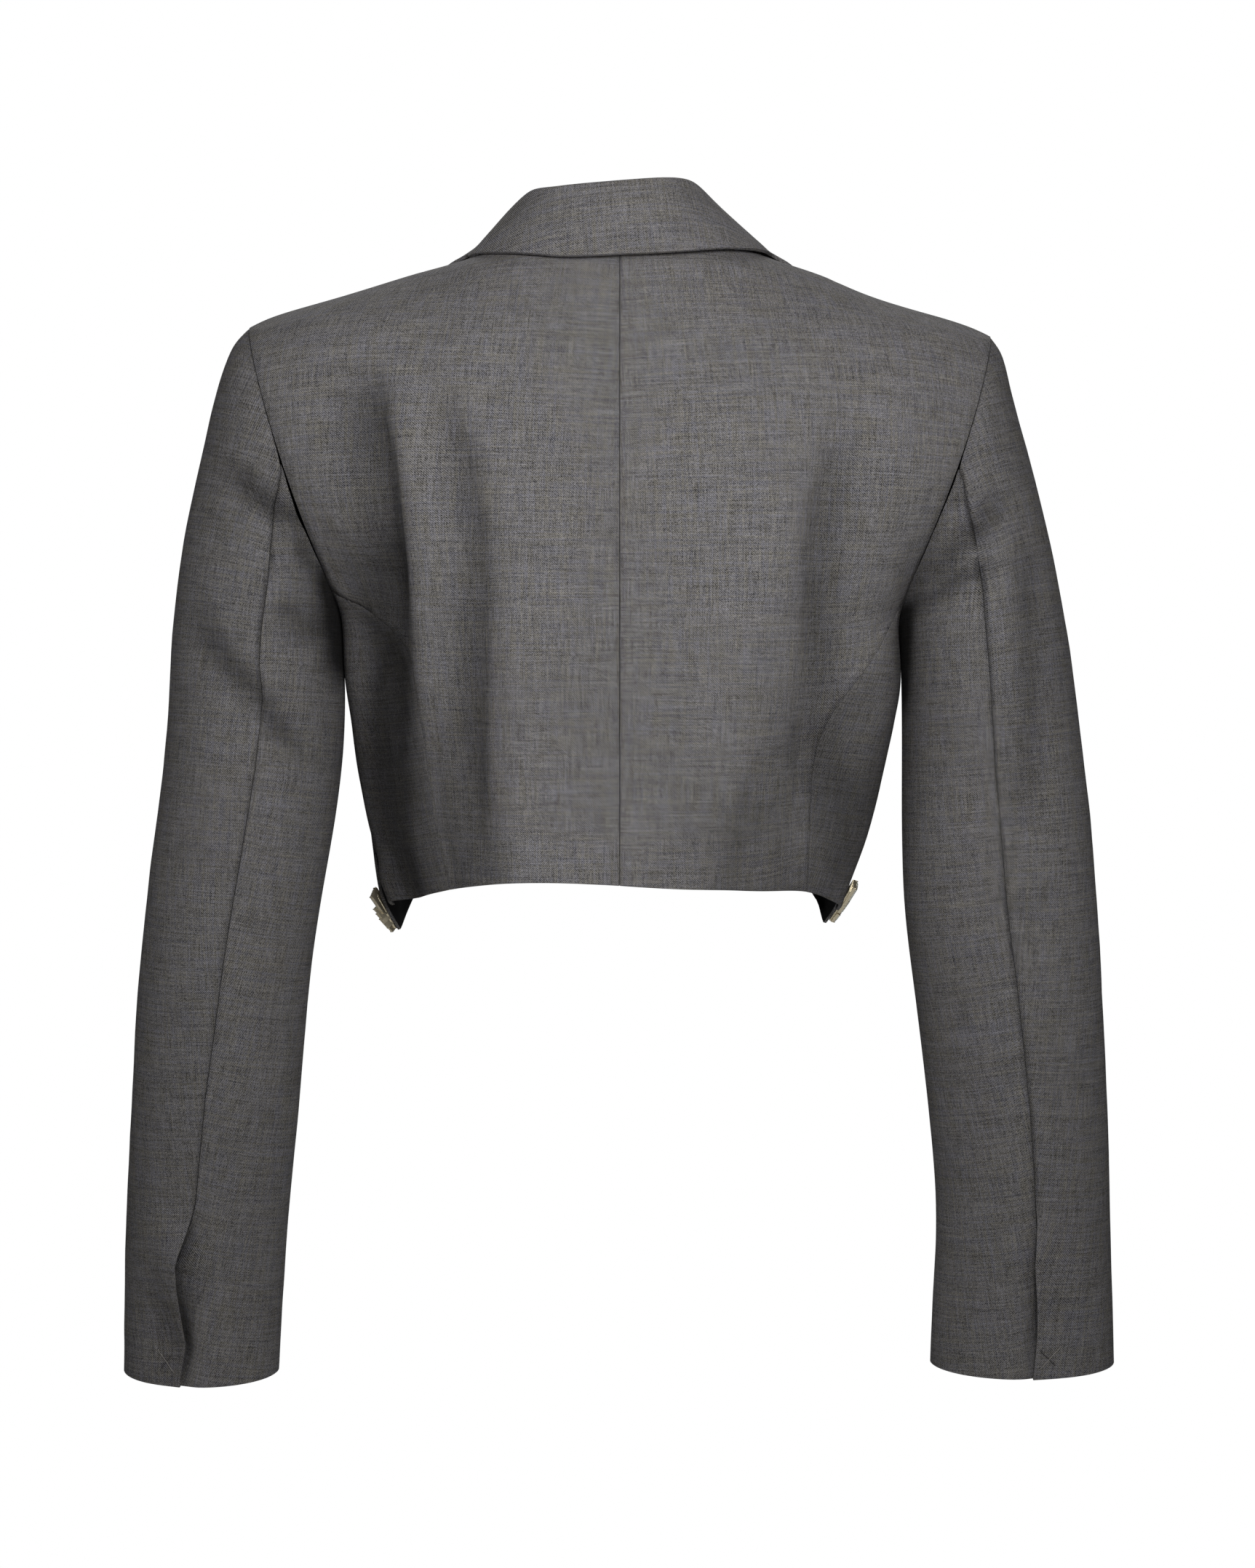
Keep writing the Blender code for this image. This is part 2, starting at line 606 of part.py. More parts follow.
sections = []
for side in (LEFT, RIGHT):
    spots = neck_spots(side)
    last = len(spots) - 1
    half = [collar_section(side, top, below, ease((k - last + 3) / 3)) for k, (top, below) in enumerate(spots)]
    sections = half[::-1] if side == LEFT else sections + half[1:]
loop = len(sections[0])
faces = [[k * loop + m, k * loop + (m + 1) % loop, (k + 1) * loop + (m + 1) % loop, (k + 1) * loop + m]
         for k in range(len(sections) - 1) for m in range(loop)]
for first in (0, (len(sections) - 1) * loop):
    faces += [[first + m, first + m + 1, first + loop - 2 - m, first + loop - 1 - m] for m in range(loop // 2 - 1)]
add_solid("collar", [point for section in sections for point in section], faces, wool)


# Sleeves
def sleeve(side, station, angle, out=0.0):
    """Spot of a sleeve by section and angle: 0 outside, 90 behind, 180 inside, 270 in front."""
    name = side_name(side)

    def place(s, a):
        s = min(max(s, 0.0), SLEEVE[-1].station)
        c, k = cos(radians(a)), sin(radians(a))
        outer = Vector((along(SLEEVE, s, "outer_" + name), along(SLEEVE, s, "outer_z")))
        inner = Vector((along(SLEEVE, s, "inner_" + name), along(SLEEVE, s, "inner_z")))
        flat = (outer + inner) / 2 + (outer - inner) / 2 * c
        bow = (ARMHOLE_BOW_BACK if k > 0 else ARMHOLE_BOW_FRONT) * k * k * max(0.0, 1 - s / 3)
        dip = CUFF_DIP * max(k, 0.0) * ease((s - 13) / 1.0)
        y = along(SLEEVE, s, "y_mid") + along(SLEEVE, s, "half_depth") * k
        return Vector((flat.x + bow, y, flat.y - dip))

    point = place(station, angle)
    low, high = max(station - 0.05, 0.0), min(station + 0.05, SLEEVE[-1].station)
    around = place(station, angle + 1) - place(station, angle - 1)
    outward = around.cross(place(high, angle) - place(low, angle)).normalized()
    middle = (place(station, 0) + place(station, 180)) / 2
    if outward.dot(point - middle) < 0:
        outward = -outward
    if station == 0:
        return Spot(mirrored(side, point), mirrored(side, mitre(angle, outward)))
    fade = ease(sin(radians(angle)) * 2) * ease(station / 1.5)
    point += outward * (out + fold_depth(SLEEVE_FOLDS, side * point.x, point.z) * fade)
    return Spot(mirrored(side, point), mirrored(side, outward))


def elbow(side, station):
    return along(SLEEVE, station, "elbow_" + side_name(side))


def top_sleeve_rows(side):
    rows = []
    for station in STATIONS:
        vent = max(0.0, (station - VENT_STATION) / (SLEEVE[-1].station - VENT_STATION))
        gape = VENT_GAPE * sin(pi * min(vent, 1.0))
        edge = elbow(side, station)
        row = []
        for j in range(14):
            angle = mix(FRONT_SEAM - 360, edge - 2.5 * gape, j / 13)
            row.append(sleeve(side, station, angle, gape * ease((j - 10) / 3)))
        rows.append(row)
    return rows


def under_sleeve_rows(side):
    rows, cells = [], set()
    for i, station in enumerate(STATIONS):
        vent = station > VENT_STATION
        edge = elbow(side, station)
        row = [sleeve(side, station, edge + more, -VENT_TUCK) for more in VENT_UNDERLAY]
        for j in range(12):
            row.append(sleeve(side, station, mix(edge, FRONT_SEAM, j / 11), -VENT_TUCK * (vent and j == 0)))
        rows.append(row)
    for i in range(len(STATIONS) - 1):
        first = 0 if STATIONS[i] > VENT_STATION else len(VENT_UNDERLAY)
        cells |= {(i, j) for j in range(first, len(rows[0]) - 1)}
    return rows, cells


for name, side in SIDES.items():
    wall("top_sleeve_" + name, top_sleeve_rows(side), wool_dark, ("left", "right"))
    rows, cells = under_sleeve_rows(side)
    for i, station in enumerate(STATIONS):
        if station <= VENT_STATION:
            edge = rows[i][len(VENT_UNDERLAY)]
            step = rows[i][len(VENT_UNDERLAY) + 1].point - edge.point
            rows[i][len(VENT_UNDERLAY)] = Spot(edge.point + step.normalized() * SEAM_GAP / 2, edge.outward)
    wall("under_sleeve_" + name, rows, wool_dark, ("right",), cells)


# Jewelled bands: cut stones raised on a strip along the hem
def band_rows(side):
    """Grid along the band: each stone rises from the strip with bevelled ends and sides."""
    hem = [front_low(side, 0.004 + 0.0015 * k, 0.006).point for k in range(90)]
    lengths = [0.0]
    for a, b in zip(hem, hem[1:]):
        lengths.append(lengths[-1] + (b - a).length)

    def share_at(length):
        k = min(max(bisect_right(lengths, length) - 1, 0), len(lengths) - 2)
        f = (length - lengths[k]) / (lengths[k + 1] - lengths[k])
        return 0.004 + 0.0015 * (k + f)

    marks, start = [], 0.0
    for stone in STONES:
        marks += [(start, 0.0), (start + STONE_BEVEL, 1.0), (start + stone - STONE_BEVEL, 1.0), (start + stone, 0.0)]
        start += stone + STONE_GAP
    rows = []
    for across, raised in ((0.0, 0.0), (STONE_BEVEL, 1.0), (BAND_WIDTH - STONE_BEVEL, 1.0), (BAND_WIDTH, 0.0)):
        row = []
        for length, top in marks:
            c = share_at(length)
            rise = FRONT_CORNER.z - along(FRONT_HEM, c, side_name(side))
            height = mix(BAND_HEIGHT, STONE_HEIGHT, raised * top)
            foot = front_low(side, c, 0.006 + across / rise, BAND_CLEAR)
            row.append((foot, height))
        rows.append(row)
    return rows


glass = material("glass", GLASS, 0.08, 0.4)
for name, side in SIDES.items():
    grid = band_rows(side)
    tops = [[foot.point + foot.outward * height for foot, height in row] for row in grid]
    feet = [[foot.point for foot, height in row] for row in grid]
    count = len(grid) * len(grid[0])
    width = len(grid[0])
    corners = [p for row in tops for p in row] + [p for row in feet for p in row]
    faces = []
    for i in range(len(grid) - 1):
        for j in range(width - 1):
            ring = [i * width + j, i * width + j + 1, (i + 1) * width + j + 1, (i + 1) * width + j]
            faces += [ring, [count + k for k in reversed(ring)]]
    rim = [j for j in range(width)] + [i * width + width - 1 for i in range(1, len(grid))]
    rim += [(len(grid) - 1) * width + j for j in range(width - 2, -1, -1)]
    rim += [i * width for i in range(len(grid) - 2, 0, -1)]
    faces += [[b, a, count + a, count + b] for a, b in zip(rim, rim[1:] + rim[:1])]
    add_solid("hem_jewels_" + name, corners, faces, glass)


# Button: turned disc with a raised rim, lying on the upper front
horn = material("horn", HORN, 0.35)
seat = front_at(RIGHT, 0.0, BUTTON_Z, 0.35)
profile = ((0.0, 0.0), (6.5, 0.0), (9.2, 1.2), (BUTTON_RADIUS, 2.4), (9.4, 3.6), (8.2, 3.8), (7.2, 2.6), (0.0, 2.2))
steps = 28
corners, rings = [], []
for radius, height in profile:
    if radius == 0.0:
        rings.append([len(corners)])
        corners.append(Vector((0, 0, height)))
    else:
        rings.append(list(range(len(corners), len(corners) + steps)))
        corners += [Vector((radius * cos(2 * pi * k / steps), radius * sin(2 * pi * k / steps), height))
                    for k in range(steps)]
faces = []
for low, high in zip(rings, rings[1:]):
    for k in range(steps):
        n = (k + 1) % steps
        if len(low) == 1:
            faces.append([low[0], high[k], high[n]])
        elif len(high) == 1:
            faces.append([low[k], low[n], high[0]])
        else:
            faces.append([low[k], low[n], high[n], high[k]])
turned = Matrix.Translation(seat.point) @ seat.outward.to_track_quat("Z", "Y").to_matrix().to_4x4()
add_solid("button", [turned @ corner for corner in corners], faces, horn)
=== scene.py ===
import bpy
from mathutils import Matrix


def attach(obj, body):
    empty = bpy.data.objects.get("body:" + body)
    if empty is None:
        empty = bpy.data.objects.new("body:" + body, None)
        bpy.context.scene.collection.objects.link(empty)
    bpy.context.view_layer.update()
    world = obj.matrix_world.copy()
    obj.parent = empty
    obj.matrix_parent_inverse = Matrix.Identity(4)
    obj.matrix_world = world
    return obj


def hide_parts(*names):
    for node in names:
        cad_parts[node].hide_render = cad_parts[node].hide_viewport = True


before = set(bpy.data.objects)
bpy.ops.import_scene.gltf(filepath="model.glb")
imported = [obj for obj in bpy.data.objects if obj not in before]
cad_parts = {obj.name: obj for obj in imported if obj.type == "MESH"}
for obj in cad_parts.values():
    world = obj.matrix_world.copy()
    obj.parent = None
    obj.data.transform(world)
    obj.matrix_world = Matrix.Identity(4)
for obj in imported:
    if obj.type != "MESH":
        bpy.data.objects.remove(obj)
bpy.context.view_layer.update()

from collections import namedtuple
from math import pi, radians, sqrt

import bmesh
import bpy
import numpy as np
from mathutils import Matrix, Vector, noise
from mathutils.bvhtree import BVHTree

# Studio: a pale matt floor well below the jacket, which is held up at its shoulders. One broad soft lamp
# stands by the camera, a little to its right, with a weak one on either side and one beyond the jacket.
# The camera looks level at the back of the jacket.
PHOTO_HEIGHT = 2156
PIXEL = 0.000412
CAMERA_AWAY = 3.2
CAMERA_X, CAMERA_Z = -0.0043, -0.2979
SENSOR = 36.0
FLOOR_Z, FLOOR_SIZE = -1.35, 5.0


class Value:
    """One socket of a node tree. Arithmetic on it adds Math nodes."""

    def __init__(self, tree, socket=None):
        self.tree, self.socket = tree, socket

    def node(self, kind, settings=None, sockets=None, out=0):
        """Adds a node: its settings first, then a value or a link for each socket, by name or number."""
        made = self.tree.nodes.new(kind)
        for name, setting in (settings or {}).items():
            if name == "stops":
                ramp = made.color_ramp.elements
                for number, (place, colour) in enumerate(setting):
                    stop = ramp[number] if number < len(ramp) else ramp.new(place)
                    stop.position, stop.color = place, colour
            else:
                setattr(made, name, setting)
        for name, given in (sockets or {}).items():
            if isinstance(given, Value):
                self.tree.links.new(given.socket, made.inputs[name])
            else:
                made.inputs[name].default_value = given
        if isinstance(out, tuple):
            return [Value(self.tree, made.outputs[name]) for name in out]
        return Value(self.tree, made.outputs[out]) if made.outputs else None

    def math(self, operation, first, second):
        return self.node("ShaderNodeMath", {"operation": operation}, {0: first, 1: second})

    def __add__(self, other):
        return self.math("ADD", self, other)

    def __radd__(self, other):
        return self.math("ADD", other, self)

    def __sub__(self, other):
        return self.math("SUBTRACT", self, other)

    def __rsub__(self, other):
        return self.math("SUBTRACT", other, self)

    def __mul__(self, other):
        return self.math("MULTIPLY", self, other)

    def __rmul__(self, other):
        return self.math("MULTIPLY", other, self)


def new_finish(name):
    """A material with an empty tree, and a value to start its nodes from."""
    look = bpy.data.materials.new(name)
    look.use_nodes = True
    look.node_tree.nodes.clear()
    return look, Value(look.node_tree)


def speckle(start, scale, detail, distortion=0.0):
    """Noise by the place on a piece."""
    where = start.node("ShaderNodeTexCoord", out="Object")
    return where.node("ShaderNodeTexNoise", {}, {
        "Vector": where, "Scale": scale, "Detail": detail, "Distortion": distortion})


def blend(share, first, second):
    """One colour turning into another as a value grows."""
    return share.node("ShaderNodeMix", {"data_type": "RGBA"}, {0: share, 6: first, 7: second}, out=2)


def coat(last, sockets):
    """Ends a finish with one surface."""
    surface = last.node("ShaderNodeBsdfPrincipled", {}, sockets)
    surface.node("ShaderNodeOutputMaterial", {}, {"Surface": surface})


bpy.ops.object.select_all(action="DESELECT")
bpy.ops.mesh.primitive_plane_add(size=FLOOR_SIZE, location=(0, 0, FLOOR_Z))
floor = bpy.context.object
floor.name = "studio_floor"
bpy.ops.object.transform_apply(location=True, rotation=True, scale=True)
paint, start = new_finish("pale_floor")
tint = blend(speckle(start, 3.0, 3.0), (0.76, 0.76, 0.75, 1), (0.82, 0.82, 0.81, 1))
coat(tint, {"Base Color": tint, "Roughness": 0.9})
floor.data.materials.append(paint)

room = bpy.data.worlds.new("pale_room")
bpy.context.scene.world = room
room.use_nodes = True
room.node_tree.nodes.clear()
air = Value(room.node_tree)
seen = air.node("ShaderNodeLightPath", out="Is Camera Ray")
glow = air.node("ShaderNodeBackground", {}, {"Color": (1, 1, 1, 1), "Strength": 0.04})
backdrop = air.node("ShaderNodeBackground", {}, {"Color": (1, 1, 1, 1), "Strength": 1.0})
mixed = air.node("ShaderNodeMixShader", {}, {0: seen, 1: glow, 2: backdrop})
air.node("ShaderNodeOutputWorld", {}, {"Surface": mixed})

Lamp = namedtuple("Lamp", "name place aim across watts")
for lamp in (
    Lamp("key", (-0.2, 1.6, 0.2), (0.0, 0.0, -0.2), 0.8, 21.4),
    Lamp("left_fill", (1.4, 0.9, 0.55), (0.2, 0.0, -0.2), 0.8, 6.5),
    Lamp("right_fill", (-1.4, 0.9, 0.65), (-0.2, 0.0, -0.2), 0.8, 4.2),
    Lamp("front_fill", (-0.1, -2.3, 1.6), (0.0, 0.0, -0.25), 1.4, 40.0),
):
    shine = bpy.data.lights.new(lamp.name, "AREA")
    shine.shape, shine.size, shine.energy = "DISK", lamp.across, lamp.watts
    stand = bpy.data.objects.new(lamp.name, shine)
    bpy.context.collection.objects.link(stand)
    stand.location = lamp.place
    stand.visible_camera = False
    stand.rotation_euler = (Vector(lamp.aim) - Vector(lamp.place)).to_track_quat("-Z", "Y").to_euler()

lens = bpy.data.cameras.new("camera")
lens.sensor_fit, lens.sensor_height = "VERTICAL", SENSOR
lens.lens = SENSOR * CAMERA_AWAY / (PHOTO_HEIGHT * PIXEL)
camera = bpy.data.objects.new("camera", lens)
bpy.context.collection.objects.link(camera)
camera.location = (CAMERA_X, CAMERA_AWAY, CAMERA_Z)
camera.rotation_euler = (pi / 2, 0.0, pi)
bpy.context.scene.camera = camera
bpy.context.scene.view_settings.view_transform = "Standard"

# Back: two panels of fine grey wool joined by the centre back seam, cut with the grain upright and lined.
# A deep fold falls from the left shoulder blade, a softer one from the right, and the cloth between hangs
# nearly flat. Every cloth piece is shaped here from the form of its solid.
MM = 0.001
TWILL_PITCH = 0.0012
RIB, GRAIN, SLUB, PATCH, EVEN = 0.4, 1.9, 1.0, 0.2, 0.78
# How strongly the painted seam shade and the painted fold shade darken the wool's colour.
SEAM_PAINTED_SHADE, FOLD_PAINTED_SHADE = 0.65, 0.5
WARM_YARN, COOL_YARN = (0.196, 0.184, 0.166, 1), (0.182, 0.178, 0.196, 1)
EDGE_ROUND = 0.00045
CLOTH_LEVELS = 2
SEAM_REACH = 0.00045
SEAM_CLOSED = 0.49
# Distances from a neighbouring piece over which an edge gets painted seam shade.
SEAM_SHADE_WITHIN, SEAM_SHADE_OVER = 0.0007, 0.0004


def wool(name, tone):
    """Fine twill of mixed grey yarns: a slanting rib, slubs along warp and weft, warm and cool patches."""
    look, start = new_finish(name)
    cut = start.node("ShaderNodeUVMap", {"uv_map": "cut"})
    u, v = cut.node("ShaderNodeSeparateXYZ", {}, {0: cut}, out=("X", "Y"))

    def yarns(across, upright, seed, detail=2.0):
        spot = u.node("ShaderNodeCombineXYZ", {}, {0: u * across, 1: v * upright, 2: seed})
        return spot.node("ShaderNodeTexNoise", {}, {"Vector": spot, "Scale": 1.0, "Detail": detail}) - 0.5

    grain = yarns(1700.0, 1700.0, 1.7, 1.0)
    warp = yarns(1900.0, 60.0, 5.2)
    weft = yarns(45.0, 1900.0, 9.4)
    broad = yarns(120.0, 90.0, 14.8)
    wobble = yarns(300.0, 300.0, 21.3, 1.0)
    rib = u.node("ShaderNodeMath", {"operation": "SINE"},
                 {0: (u + v) * (2 * pi / TWILL_PITCH) + wobble * 3.0})
    hue = u.node("ShaderNodeMath", {"operation": "ADD", "use_clamp": True},
                 {0: 0.5, 1: yarns(700.0, 24.0, 31.0) * 2.0 + yarns(20.0, 700.0, 37.0) * 2.0 + broad * 0.8})
    mixed = blend(hue, WARM_YARN, COOL_YARN)
    # Marks of painted shade set on each piece: along its seams, and in its folds.
    painted_seam_shade = start.node("ShaderNodeAttribute", {"attribute_name": "seam"}, out="Fac")
    painted_fold_shade = start.node("ShaderNodeAttribute", {"attribute_name": "fold"}, out="Fac")
    # A tone below one gives a darker copy of the same wool: painted shade for the side panels and sleeves.
    shade = (rib * RIB + grain * GRAIN + warp * SLUB + weft * SLUB + broad * PATCH + EVEN) * tone
    # Painted shade: the colour is darker along the seams and deeper in the folds.
    shade = shade * (1.0 - painted_seam_shade * SEAM_PAINTED_SHADE) * (1.0 - painted_fold_shade * FOLD_PAINTED_SHADE)
    colour = mixed.node("ShaderNodeVectorMath", {"operation": "SCALE"}, {0: mixed, "Scale": shade})
    raised = rib * 0.5 + grain + warp * 0.6 + weft * 0.6
    relief = raised.node("ShaderNodeBump", {}, {"Strength": 0.35, "Distance": 0.0004, "Height": raised})
    coat(colour, {"Base Color": colour, "Roughness": 0.88, "Specular IOR Level": 0.12, "Normal": relief})
    return look


def satin(name):
    """Black lining with a faint close weave and a low gloss."""
    look, start = new_finish(name)
    cut = start.node("ShaderNodeUVMap", {"uv_map": "cut"})
    fine = cut.node("ShaderNodeTexNoise", {}, {"Vector": cut, "Scale": 900.0, "Detail": 2.0})
    colour = blend(fine, (0.004, 0.004, 0.005, 1), (0.011, 0.010, 0.011, 1))
    relief = fine.node("ShaderNodeBump", {}, {"Strength": 0.2, "Distance": 0.0002, "Height": fine})
    coat(colour, {"Base Color": colour, "Roughness": 0.46, "Specular IOR Level": 0.3, "Normal": relief})
    return look


def facing_out(area, normal, centre, middle):
    """Area of a face that looks away from the middle line, below zero where it looks inwards."""
    return area * normal.dot(centre - Vector(middle(centre)))


def lay_flat(mesh, faces, cut, middle):
    """Turns and scales one flattened side of a wall so that its grain stands upright, in metres."""
    loops = np.array([k for f in faces for k in mesh.polygons[f].loop_indices])
    spots = np.array([mesh.vertices[mesh.loops[k].vertex_index].co for k in loops])
    flat = cut[loops]
    true, laid, weights = 0.0, 0.0, []
    for f in faces:
        face = mesh.polygons[f]
        corners = cut[list(face.loop_indices)]
        x, y = corners[:, 0], corners[:, 1]
        true += face.area
        laid += abs(np.dot(x, np.roll(y, -1)) - np.dot(y, np.roll(x, -1))) / 2
        weights += [facing_out(face.area, face.normal, face.center, middle)] * face.loop_total
    weights = np.array(weights)
    weights = np.sqrt(np.clip(weights * np.sign(weights.sum()), 0, None)) + 1e-9
    table = np.c_[flat, np.ones(len(flat))] * weights[:, None]
    slope = np.linalg.lstsq(table, spots[:, 2] * weights, rcond=None)[0][:2]
    slope = slope / max(np.hypot(*slope), 1e-12)
    flat = flat @ np.array(((slope[1], slope[0]), (-slope[0], slope[1])))
    flat *= sqrt(true / max(laid, 1e-12))
    flat += spots.mean(axis=0)[[0, 2]] - flat.mean(axis=0)
    cut[loops] = flat


walls = {}
for name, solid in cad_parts.items():
    if not name.startswith(("hem_jewels", "button")):
        walls[name] = BVHTree.FromPolygons([v.co for v in solid.data.vertices],
                                           [list(f.vertices) for f in solid.data.polygons])


def only(piece):
    """Makes one object the whole selection."""
    bpy.ops.object.select_all(action="DESELECT")
    piece.select_set(True)
    bpy.context.view_layer.objects.active = piece


def merged_copy(node, name, quads=False):
    """A new object with the form of a solid, its loose triangles joined at their corners or to quads."""
    piece = bpy.data.objects.new(name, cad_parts[node].data.copy())
    bpy.context.collection.objects.link(piece)
    only(piece)
    bpy.ops.mesh.customdata_custom_splitnormals_clear()
    bpy.ops.object.mode_set(mode="EDIT")
    bpy.ops.mesh.select_all(action="SELECT")
    bpy.ops.mesh.remove_doubles(threshold=1e-5)
    if quads:
        bpy.ops.mesh.tris_convert_to_quads(face_threshold=radians(60), shape_threshold=radians(90),
                                           topology_influence=1.0)
    bpy.ops.object.mode_set(mode="OBJECT")
    return piece


def panel(node, looks, middle, rim_angle=42.0):
    """Cloth of one cut piece: the form of its solid joined to quads, laid flat for its cut, then smoothed,
    with painted seam shade at its edges.
    """
    piece = merged_copy(node, node + "_cloth", quads=True)
    mesh = piece.data
    mesh.materials.clear()
    for look in looks:
        mesh.materials.append(look)
    form = bmesh.new()
    form.from_mesh(mesh)
    form.faces.ensure_lookup_table()
    for edge in form.edges:
        edge.seam = not edge.is_manifold or edge.calc_face_angle() > radians(rim_angle)
    free = [True] * len(form.faces)
    sides = []
    for first in form.faces:
        grown = [first] if free[first.index] else []
        free[first.index] = False
        for face in grown:
            for edge in face.edges:
                for other in (() if edge.seam else edge.link_faces):
                    if free[other.index]:
                        free[other.index] = False
                        grown.append(other)
        if grown:
            sides.append([face.index for face in grown])
            turned = sum(facing_out(f.calc_area(), f.normal, f.calc_center_median(), middle) for f in grown)
            if len(looks) > 1 and turned < 0 and len(grown) > len(form.faces) / 5:
                for face in grown:
                    face.material_index = 1
    firm = form.edges.layers.float.new("crease_edge")
    for edge in form.edges:
        edge[firm] = float(edge.seam)
    moves = {}
    for corner in form.verts:
        if any(edge.seam for edge in corner.link_edges):
            near = [(gap, place) for name, wall in walls.items() if name != node
                    for place, _, _, gap in (wall.find_nearest(corner.co, SEAM_REACH),) if place]
            if near:
                moves[corner] = corner.co.lerp(min(near, key=lambda found: found[0])[1], SEAM_CLOSED)
    for corner, place in moves.items():
        corner.co = place
    form.to_mesh(mesh)
    form.free()
    mesh.uv_layers.new(name="cut")
    bpy.ops.object.mode_set(mode="EDIT")
    bpy.ops.mesh.select_all(action="SELECT")
    bpy.ops.uv.unwrap(method="ANGLE_BASED", margin=0.002)
    bpy.ops.object.mode_set(mode="OBJECT")
    cut = np.empty(len(mesh.loops) * 2)
    mesh.uv_layers["cut"].uv.foreach_get("vector", cut)
    cut = cut.reshape(-1, 2)
    for faces in sides:
        lay_flat(mesh, faces, cut, middle)
    mesh.uv_layers["cut"].uv.foreach_set("vector", cut.ravel())
    smooth = piece.modifiers.new("smooth", "SUBSURF")
    smooth.levels = smooth.render_levels = CLOTH_LEVELS
    edges = piece.modifiers.new("edges", "BEVEL")
    edges.width, edges.segments = EDGE_ROUND, 2
    edges.limit_method, edges.angle_limit = "ANGLE", radians(50)
    for change in (smooth, edges):
        bpy.ops.object.modifier_apply(modifier=change.name)
    bpy.ops.object.shade_smooth()
    form = bmesh.new()
    form.from_mesh(mesh)
    # Painted seam shade: edges that meet another piece are marked, and the wool is darker there.
    painted_seam_shade = form.verts.layers.float.new("seam")
    for corner in form.verts:
        if any(edge.is_manifold and edge.calc_face_angle() > radians(14) for edge in corner.link_edges):
            gaps = [gap for name, wall in walls.items() if name != node
                    for _, _, _, gap in (wall.find_nearest(corner.co, 2 * SEAM_REACH),) if gap is not None]
            if gaps:
                corner[painted_seam_shade] = min(max((SEAM_SHADE_WITHIN - min(gaps)) / SEAM_SHADE_OVER, 0), 1)
    form.to_mesh(mesh)
    form.free()
    return piece


Crease = namedtuple("Crease", "path depth near far")
CREASE_FADE = 0.3
HELD_WITHIN = 0.016
# Crease depth at which the painted fold shade is full, and the most it may reach.
FOLD_SHADE_FULL, FOLD_SHADE_MOST = 0.0105, 1.45
BROAD_WAVER, FINE_WAVER = 22, 61
FACING_SHARP = 2.4


def ease(share):
    share = np.clip(share, 0, 1)
    return share * share * (3 - 2 * share)


def crease_depth(flat, row):
    """Depth of one soft trough or ridge along a path, with its own width towards and away from the centre."""
    path = np.array(row.path) * MM
    gap, side, gone = np.full(len(flat), 9.0), np.zeros(len(flat)), np.zeros(len(flat))
    walked = 0.0
    for a, b in zip(path, path[1:]):
        run = b - a
        long = np.hypot(*run)
        away = np.array((-run[1], run[0])) / long
        if away[0] * path[:, 0].mean() < 0:
            away = -away
        share = np.clip((flat - a) @ run / long ** 2, 0, 1)
        off = flat - a - share[:, None] * run
        here = np.hypot(off[:, 0], off[:, 1])
        nearer = here < gap
        gap = np.where(nearer, here, gap)
        side = np.where(nearer, off @ away, side)
        gone = np.where(nearer, walked + share * long, gone)
        walked += long
    width = np.where(side > 0, row.far, row.near) * MM
    fade = ease(np.minimum(gone, walked - gone) / (CREASE_FADE * walked))
    return row.depth * MM * np.exp(-(gap / width) ** 2) * fade


def hang(piece, outward, behind, before, around=(), dark=(), held_at=(), slack=0.35,
         full=FOLD_SHADE_FULL, most=FOLD_SHADE_MOST):
    """Sets the creases seen from behind, from before and all round, dying out where the piece is held.
    Stores painted shade in the attribute fold, by how deep each place lies in a fold and by the rows of
    painted shade that pieces throw on each other."""
    mesh = piece.data
    spots = np.empty(len(mesh.vertices) * 3)
    mesh.vertices.foreach_get("co", spots)
    spots = spots.reshape(-1, 3)
    out = outward(spots)
    faces = out / np.maximum(np.linalg.norm(out, axis=1), 1e-9)[:, None]
    waver = [noise.noise(Vector(p) * BROAD_WAVER) + 0.5 * noise.noise(Vector(p) * FINE_WAVER) for p in spots]
    lift = np.array(waver) * slack * MM
    for rows, facing in ((behind, 1), (before, -1)):
        shown = ease(facing * faces[:, 1] * FACING_SHARP)
        for row in rows:
            lift += crease_depth(spots[:, [0, 2]], row) * shown
    for name in held_at:
        found = [walls[name].find_nearest(Vector(p), HELD_WITHIN)[3] for p in spots]
        lift *= ease(np.array([HELD_WITHIN if gap is None else gap for gap in found]) / HELD_WITHIN)
    for row in around:
        lift += crease_depth(spots[:, [0, 2]], row)
    # Painted shade: grows with the depth of each trough and with the rows of painted shade.
    depth = -lift - sum(crease_depth(spots[:, [0, 2]], row) for row in dark)
    shaded = mesh.attributes.new("fold", "FLOAT", "POINT")
    shaded.data.foreach_set("value", np.clip(depth / full, 0, most))
    mesh.vertices.foreach_set("co", (spots + out * lift[:, None]).ravel())
    mesh.update()


def body_middle(spot):
    return 0.0, 0.0, spot[2]


BODY_WIDE, BODY_DEEP = 0.155, 0.105


def body_outward(spots):
    """Level directions away from the middle of the body, an oval."""
    out = np.c_[spots[:, 0] / BODY_WIDE ** 2, spots[:, 1] / BODY_DEEP ** 2, np.zeros(len(spots))]
    return out / np.maximum(np.hypot(out[:, 0], out[:, 1]), 1e-9)[:, None]


def sleeve_walls(side):
    return "top_sleeve_" + side, "under_sleeve_" + side


def sew(piece, node):
    """Fixes a cloth piece to the jacket and hides its solid."""
    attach(piece, "root")
    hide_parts(node)


